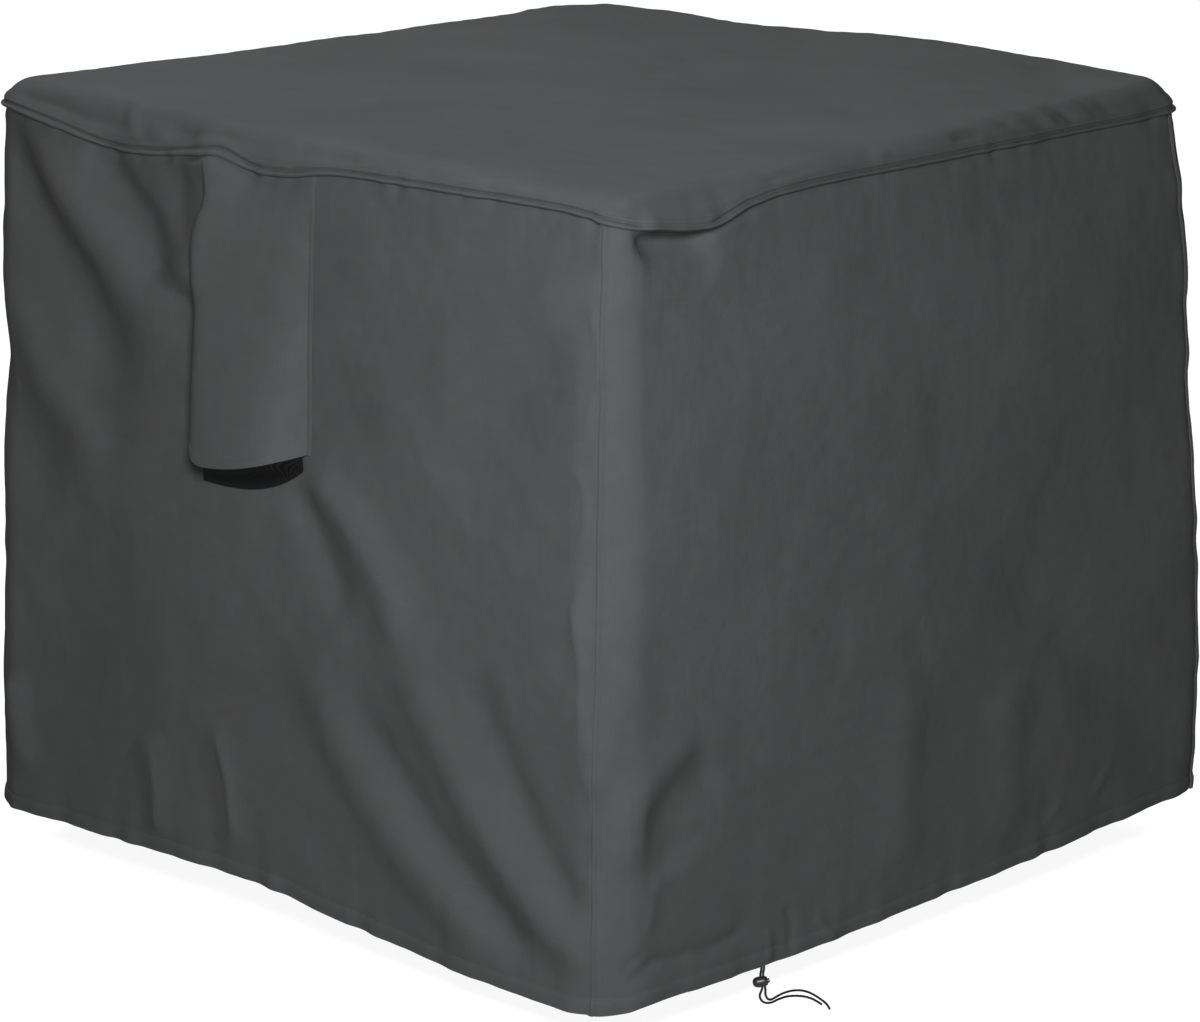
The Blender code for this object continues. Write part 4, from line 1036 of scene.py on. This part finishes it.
def top_panel():
    """The top in two grids that meet: the flat square, and rings from it down over the rim."""
    count = round(2 * TOP_EDGE / TOP_CELL)
    steps = np.linspace(-1, 1, count + 1)
    across, along = np.meshgrid(steps, steps)
    around, below = square_places(across, along)
    points, _ = top_skin(around, below)
    upward = np.broadcast_to([0.0, 0.0, 1.0], points.shape)
    places = np.stack([across, along], axis=-1) * TOP_EDGE
    index = np.arange((count + 1) ** 2).reshape(count + 1, count + 1)
    faces = [grid_faces(index)[:, ::-1]]
    ring = np.concatenate([index[0, :-1], index[:-1, -1], index[-1, :0:-1], index[:0:-1, 0]])
    ring_around = np.arange(4 * count) / count
    rows = np.concatenate([spread(-RIM_ARC, -TOP_LIP[-1], RIM_CELL)[1:], -np.array(TOP_LIP[::-1])])
    rim_around, rim_below = np.meshgrid(ring_around, rows)
    rim_points, rim_outward = top_skin(rim_around, rim_below)
    reach = TOP_EDGE + RIM_ARC + rim_below
    x, y, _, _ = rounded_square(rim_around, reach, np.full(reach.shape, SEAM_CORNER))
    rim_index = index.size + np.arange(rim_around.size).reshape(rim_around.shape)
    rings = np.vstack([ring, rim_index])
    looped = np.hstack([rings, rings[:, :1]])
    faces.append(grid_faces(looped))
    made = closed_sheet(
        "top_cloth",
        np.vstack([points.reshape(-1, 3), rim_points.reshape(-1, 3)]),
        np.vstack([upward.reshape(-1, 3), rim_outward.reshape(-1, 3)]),
        CLOTH,
        np.concatenate(faces),
        looped[-1],
        np.vstack([places.reshape(-1, 2), np.stack([x, y], axis=-1).reshape(-1, 2)]),
        CLOTH_FINISH,
    )
    dress(made, "top_panel")


def hood_arch(share):
    """1 over most of the hood's width. It falls steeply at the left edge and softly at the right one."""
    edge = 2 * share - 1
    power = np.where(edge < 0, HOOD_LEFT_POWER, HOOD_RIGHT_POWER)
    return (1 - abs(edge) ** power) * (1 - HOOD_CROWN * edge**2)


def hood_stand(share, down):
    """How far the hood stands off the wall, for a share of its width and a share of its length."""
    down = np.clip(down, 0, 1)
    left, right = 1 - np.exp(-down / HOOD_LIFTS_OVER), down**HOOD_RIGHT_LIFT
    return VENT_BULGE * hood_arch(share) * (left + (right - left) * share)


def hood_edge(share):
    """How far the hood's lower edge is drawn up along its width."""
    sag = HOOD_SAG * (1 - (2 * share - 1) ** 2)
    return VENT_SLANT * share - sag + HOOD_TIP * hump(share, 0, HOOD_TIP_REACH)


def across_hood(around):
    inner_left, inner_right = VENT_LEFT + VENT_FLANGE, VENT_RIGHT - VENT_FLANGE
    return np.clip((around - inner_left) / (inner_right - inner_left), 0, 1)


def hood_columns(count):
    """Around values across the hood, crowded where it turns down to its flanges."""
    share = (1 - np.cos(np.linspace(0, math.pi, count))) / 2
    inner = VENT_LEFT + VENT_FLANGE + share * (VENT_RIGHT - VENT_LEFT - 2 * VENT_FLANGE)
    flange = np.linspace(0, VENT_FLANGE, FLANGE_COLUMNS, endpoint=False)
    return np.concatenate([VENT_LEFT + flange, inner, (VENT_RIGHT - flange)[::-1]])


def hood_skin(around, below):
    """The middle of the hood's cloth and its outward direction."""
    share, down = across_hood(around), np.clip(below / VENT_BOTTOM, 0, 1)
    raised = below - hood_edge(share) * down
    notch = HOOD_NOTCH * hump(below, HOOD_NOTCH_AT, HOOD_NOTCH_REACH) * (1 - share) ** 3
    points, outward = cloth_surface(around + notch, raised, 1 - HOOD_FLATTENS * hood_arch(share) * down)
    outer = np.minimum(around - VENT_LEFT, VENT_RIGHT - around)
    pressed = HOOD_PRESS * (1 - ease(0, 0.6 * VENT_FLANGE, outer))
    points = points + outward * (CLOTH + GAP - pressed + hood_stand(share, down))[..., None]
    return points, outward


def vent_hood():
    below = np.concatenate([
        [-LAP, -LAP / 2],
        spread(0, VENT_BOTTOM - HOOD_EDGE_ROWS[0], HOOD_CELL),
        VENT_BOTTOM - np.array(HOOD_EDGE_ROWS),
    ])
    around, below = np.meshgrid(hood_columns(HOOD_COLUMNS), below)
    points, outward = hood_skin(around, below)
    normals = grid_normals(points)
    normals[:2] = outward[:2]
    normals[:, [0, -1]] = outward[:, [0, -1]]
    hem = ease(VENT_BOTTOM - HOOD_HEM - 0.001, VENT_BOTTOM - HOOD_HEM, below)
    places = np.stack([around * WIDTH, -below], axis=-1)
    made = grid_sheet("hood_cloth", points, normals, CLOTH + HOOD_HEM_CLOTH * hem, places, CLOTH_FINISH)
    dress(made, "vent_hood")


def vent_mesh():
    """The net from just inside the hood's lower edge down to the wall below it."""
    columns = hood_columns(MESH_COLUMNS)[FLANGE_COLUMNS:-FLANGE_COLUMNS]
    share = across_hood((1 - MESH_INSET) * columns[1:-1] + MESH_INSET * columns.mean())
    around = np.interp(share, [0, 1], columns[[0, -1]])
    shares = across_hood(columns)
    inside = np.interp(share, shares, hood_stand(shares, 1.0)) - MESH_INSIDE
    edge = VENT_BOTTOM - hood_edge(share)
    foot = VENT_BOTTOM + MESH_DROP - MESH_SLANT * share**3
    rows, places = [], []
    for down in np.linspace(0, 1, MESH_ROWS):
        below = (edge - MESH_RISE) + (foot - edge + MESH_RISE) * down
        stand = inside + (CLOTH - inside) * ease(MESH_STAYS_OUT, 1, down)
        spots, outward = cover_surface(around, below)
        rows.append(spots + outward * stand[:, None])
        places.append(np.stack([around * WIDTH, -below - MESH_SLACK * stand], axis=-1))
    points = np.array(rows)
    normals, places = grid_normals(points), np.array(places)
    made = grid_sheet("vent_net_cloth", points, normals, MESH_CLOTH, places, NET_FINISH)
    dress(made, "vent_mesh")


def thread_on(skin, lift):
    """A row of thread on a piece's skin, as points and outward directions."""
    points, outward = skin[:2]
    return points + outward * np.broadcast_to(lift, len(points))[:, None], outward


def stitch_rows():
    """The rows of stitches: on the top seam, on the upright seams, on the hem and on the hood."""
    fine = np.arange(0, 4, ROW_STEP / WIDTH)
    top_rows = [thread_on(top_skin(fine, -row), CLOTH / 2) for row in TOP_STITCH_ROWS]
    corner_rows, hem_rows = [], []
    for side in range(4):
        seam = side - CORNER_SEAM
        down = np.arange(2 * ROW_STEP, SKIRT - ROW_STEP, ROW_STEP)
        for row in CORNER_STITCH_ROWS:
            skin = side_skin(side, seam + row / WIDTH, down)
            corner_rows.append(thread_on(skin, skin[2] / 2 + welt(row, CORNER_WELT)))
        around = np.arange(seam + ROW_STEP, seam + 1, ROW_STEP / WIDTH)
        skin = side_skin(side, around, SKIRT - HEM_TUNNEL)
        hem_rows.append(thread_on(skin, skin[2] / 2))
    down = np.arange(2 * ROW_STEP, VENT_BOTTOM - ROW_STEP, ROW_STEP)
    edges = (VENT_LEFT + HOOD_STITCH_INSET, VENT_RIGHT - HOOD_STITCH_INSET)
    hood_rows = [thread_on(hood_skin(edge, down), CLOTH / 2) for edge in edges]
    across = np.arange(VENT_LEFT + VENT_FLANGE, VENT_RIGHT - VENT_FLANGE, ROW_STEP / WIDTH)
    hood_rows.append(thread_on(hood_skin(across, VENT_BOTTOM - HOOD_HEM), CLOTH / 2 + HOOD_THREAD_LIFT))
    return {
        "top_seam_thread": top_rows,
        "corner_seam_thread": corner_rows,
        "hem_thread": hem_rows,
        "hood_thread": hood_rows,
    }


for side in range(4):
    side_panel(side)
top_panel()
vent_hood()
vent_mesh()
for name, rows in stitch_rows().items():
    thread = stitches(name, rows, THREAD_FINISH)
    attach(thread, "cover")


# ---- Floor, light and finish ----

FLOOR_AT = float(LOCK_MIDDLE[2]) + LOCK_DROP - FLOOR_DROP
FLOOR_REACH = 40
FLOOR_TONE = 0.10
FLOOR_GLOW = 0.93
SKY_STRENGTH = 0.10

# Headings go from in front of the front panel round towards the right one. Angles are in degrees.
SoftBox = namedtuple("SoftBox", "name target heading height distance size power")
SOFT_BOXES = (
    SoftBox("key", (0.59, -0.60, -0.80), 41, 34, 3.0, 0.70, 338),
    SoftBox("top_light", (-0.20, -0.20, 0.00), 280, 70, 2.4, 1.20, 98),
)
Sun = namedtuple("Sun", "name heading height strength spread")
BACK_LIGHT = Sun("back_light", 228, 42, 3.9, 25)


def make_floor():
    corners = [(x * FLOOR_REACH, y * FLOOR_REACH, FLOOR_AT) for x, y in ((-1, -1), (1, -1), (1, 1), (-1, 1))]
    paint = Nodes("floor_paint").finish({
        "Base Color": (FLOOR_TONE, FLOOR_TONE, FLOOR_TONE, 1),
        "Roughness": 0.9,
        "Specular IOR Level": 0.1,
        "Emission Color": (1, 1, 1, 1),
        "Emission Strength": FLOOR_GLOW,
    })
    new_mesh("floor", corners, [(0, 1, 2, 3)], paint)


def add_light(name, kind, power, toward):
    data = bpy.data.lights.new(name, kind)
    data.energy = power
    made = new_object(name, data)
    made.rotation_euler = toward.to_track_quat("Z", "Y").to_euler()
    return made


def make_lights():
    for box in SOFT_BOXES:
        toward = direction(box.heading, box.height)
        made = add_light(box.name, "AREA", box.power, toward)
        made.location = Vector(box.target) + toward * box.distance
        made.data.shape = "DISK"
        made.data.size = box.size
    toward = direction(BACK_LIGHT.heading, BACK_LIGHT.height)
    sun = add_light(BACK_LIGHT.name, "SUN", BACK_LIGHT.strength, toward)
    sun.data.angle = math.radians(BACK_LIGHT.spread)


def make_sky():
    world = bpy.data.worlds.new("studio")
    world.use_nodes = True
    background = world.node_tree.nodes["Background"]
    background.inputs["Color"].default_value = (1, 1, 1, 1)
    background.inputs["Strength"].default_value = SKY_STRENGTH
    bpy.context.scene.world = world
    bpy.context.scene.view_settings.view_transform = "Standard"


make_floor()
make_lights()
make_sky()
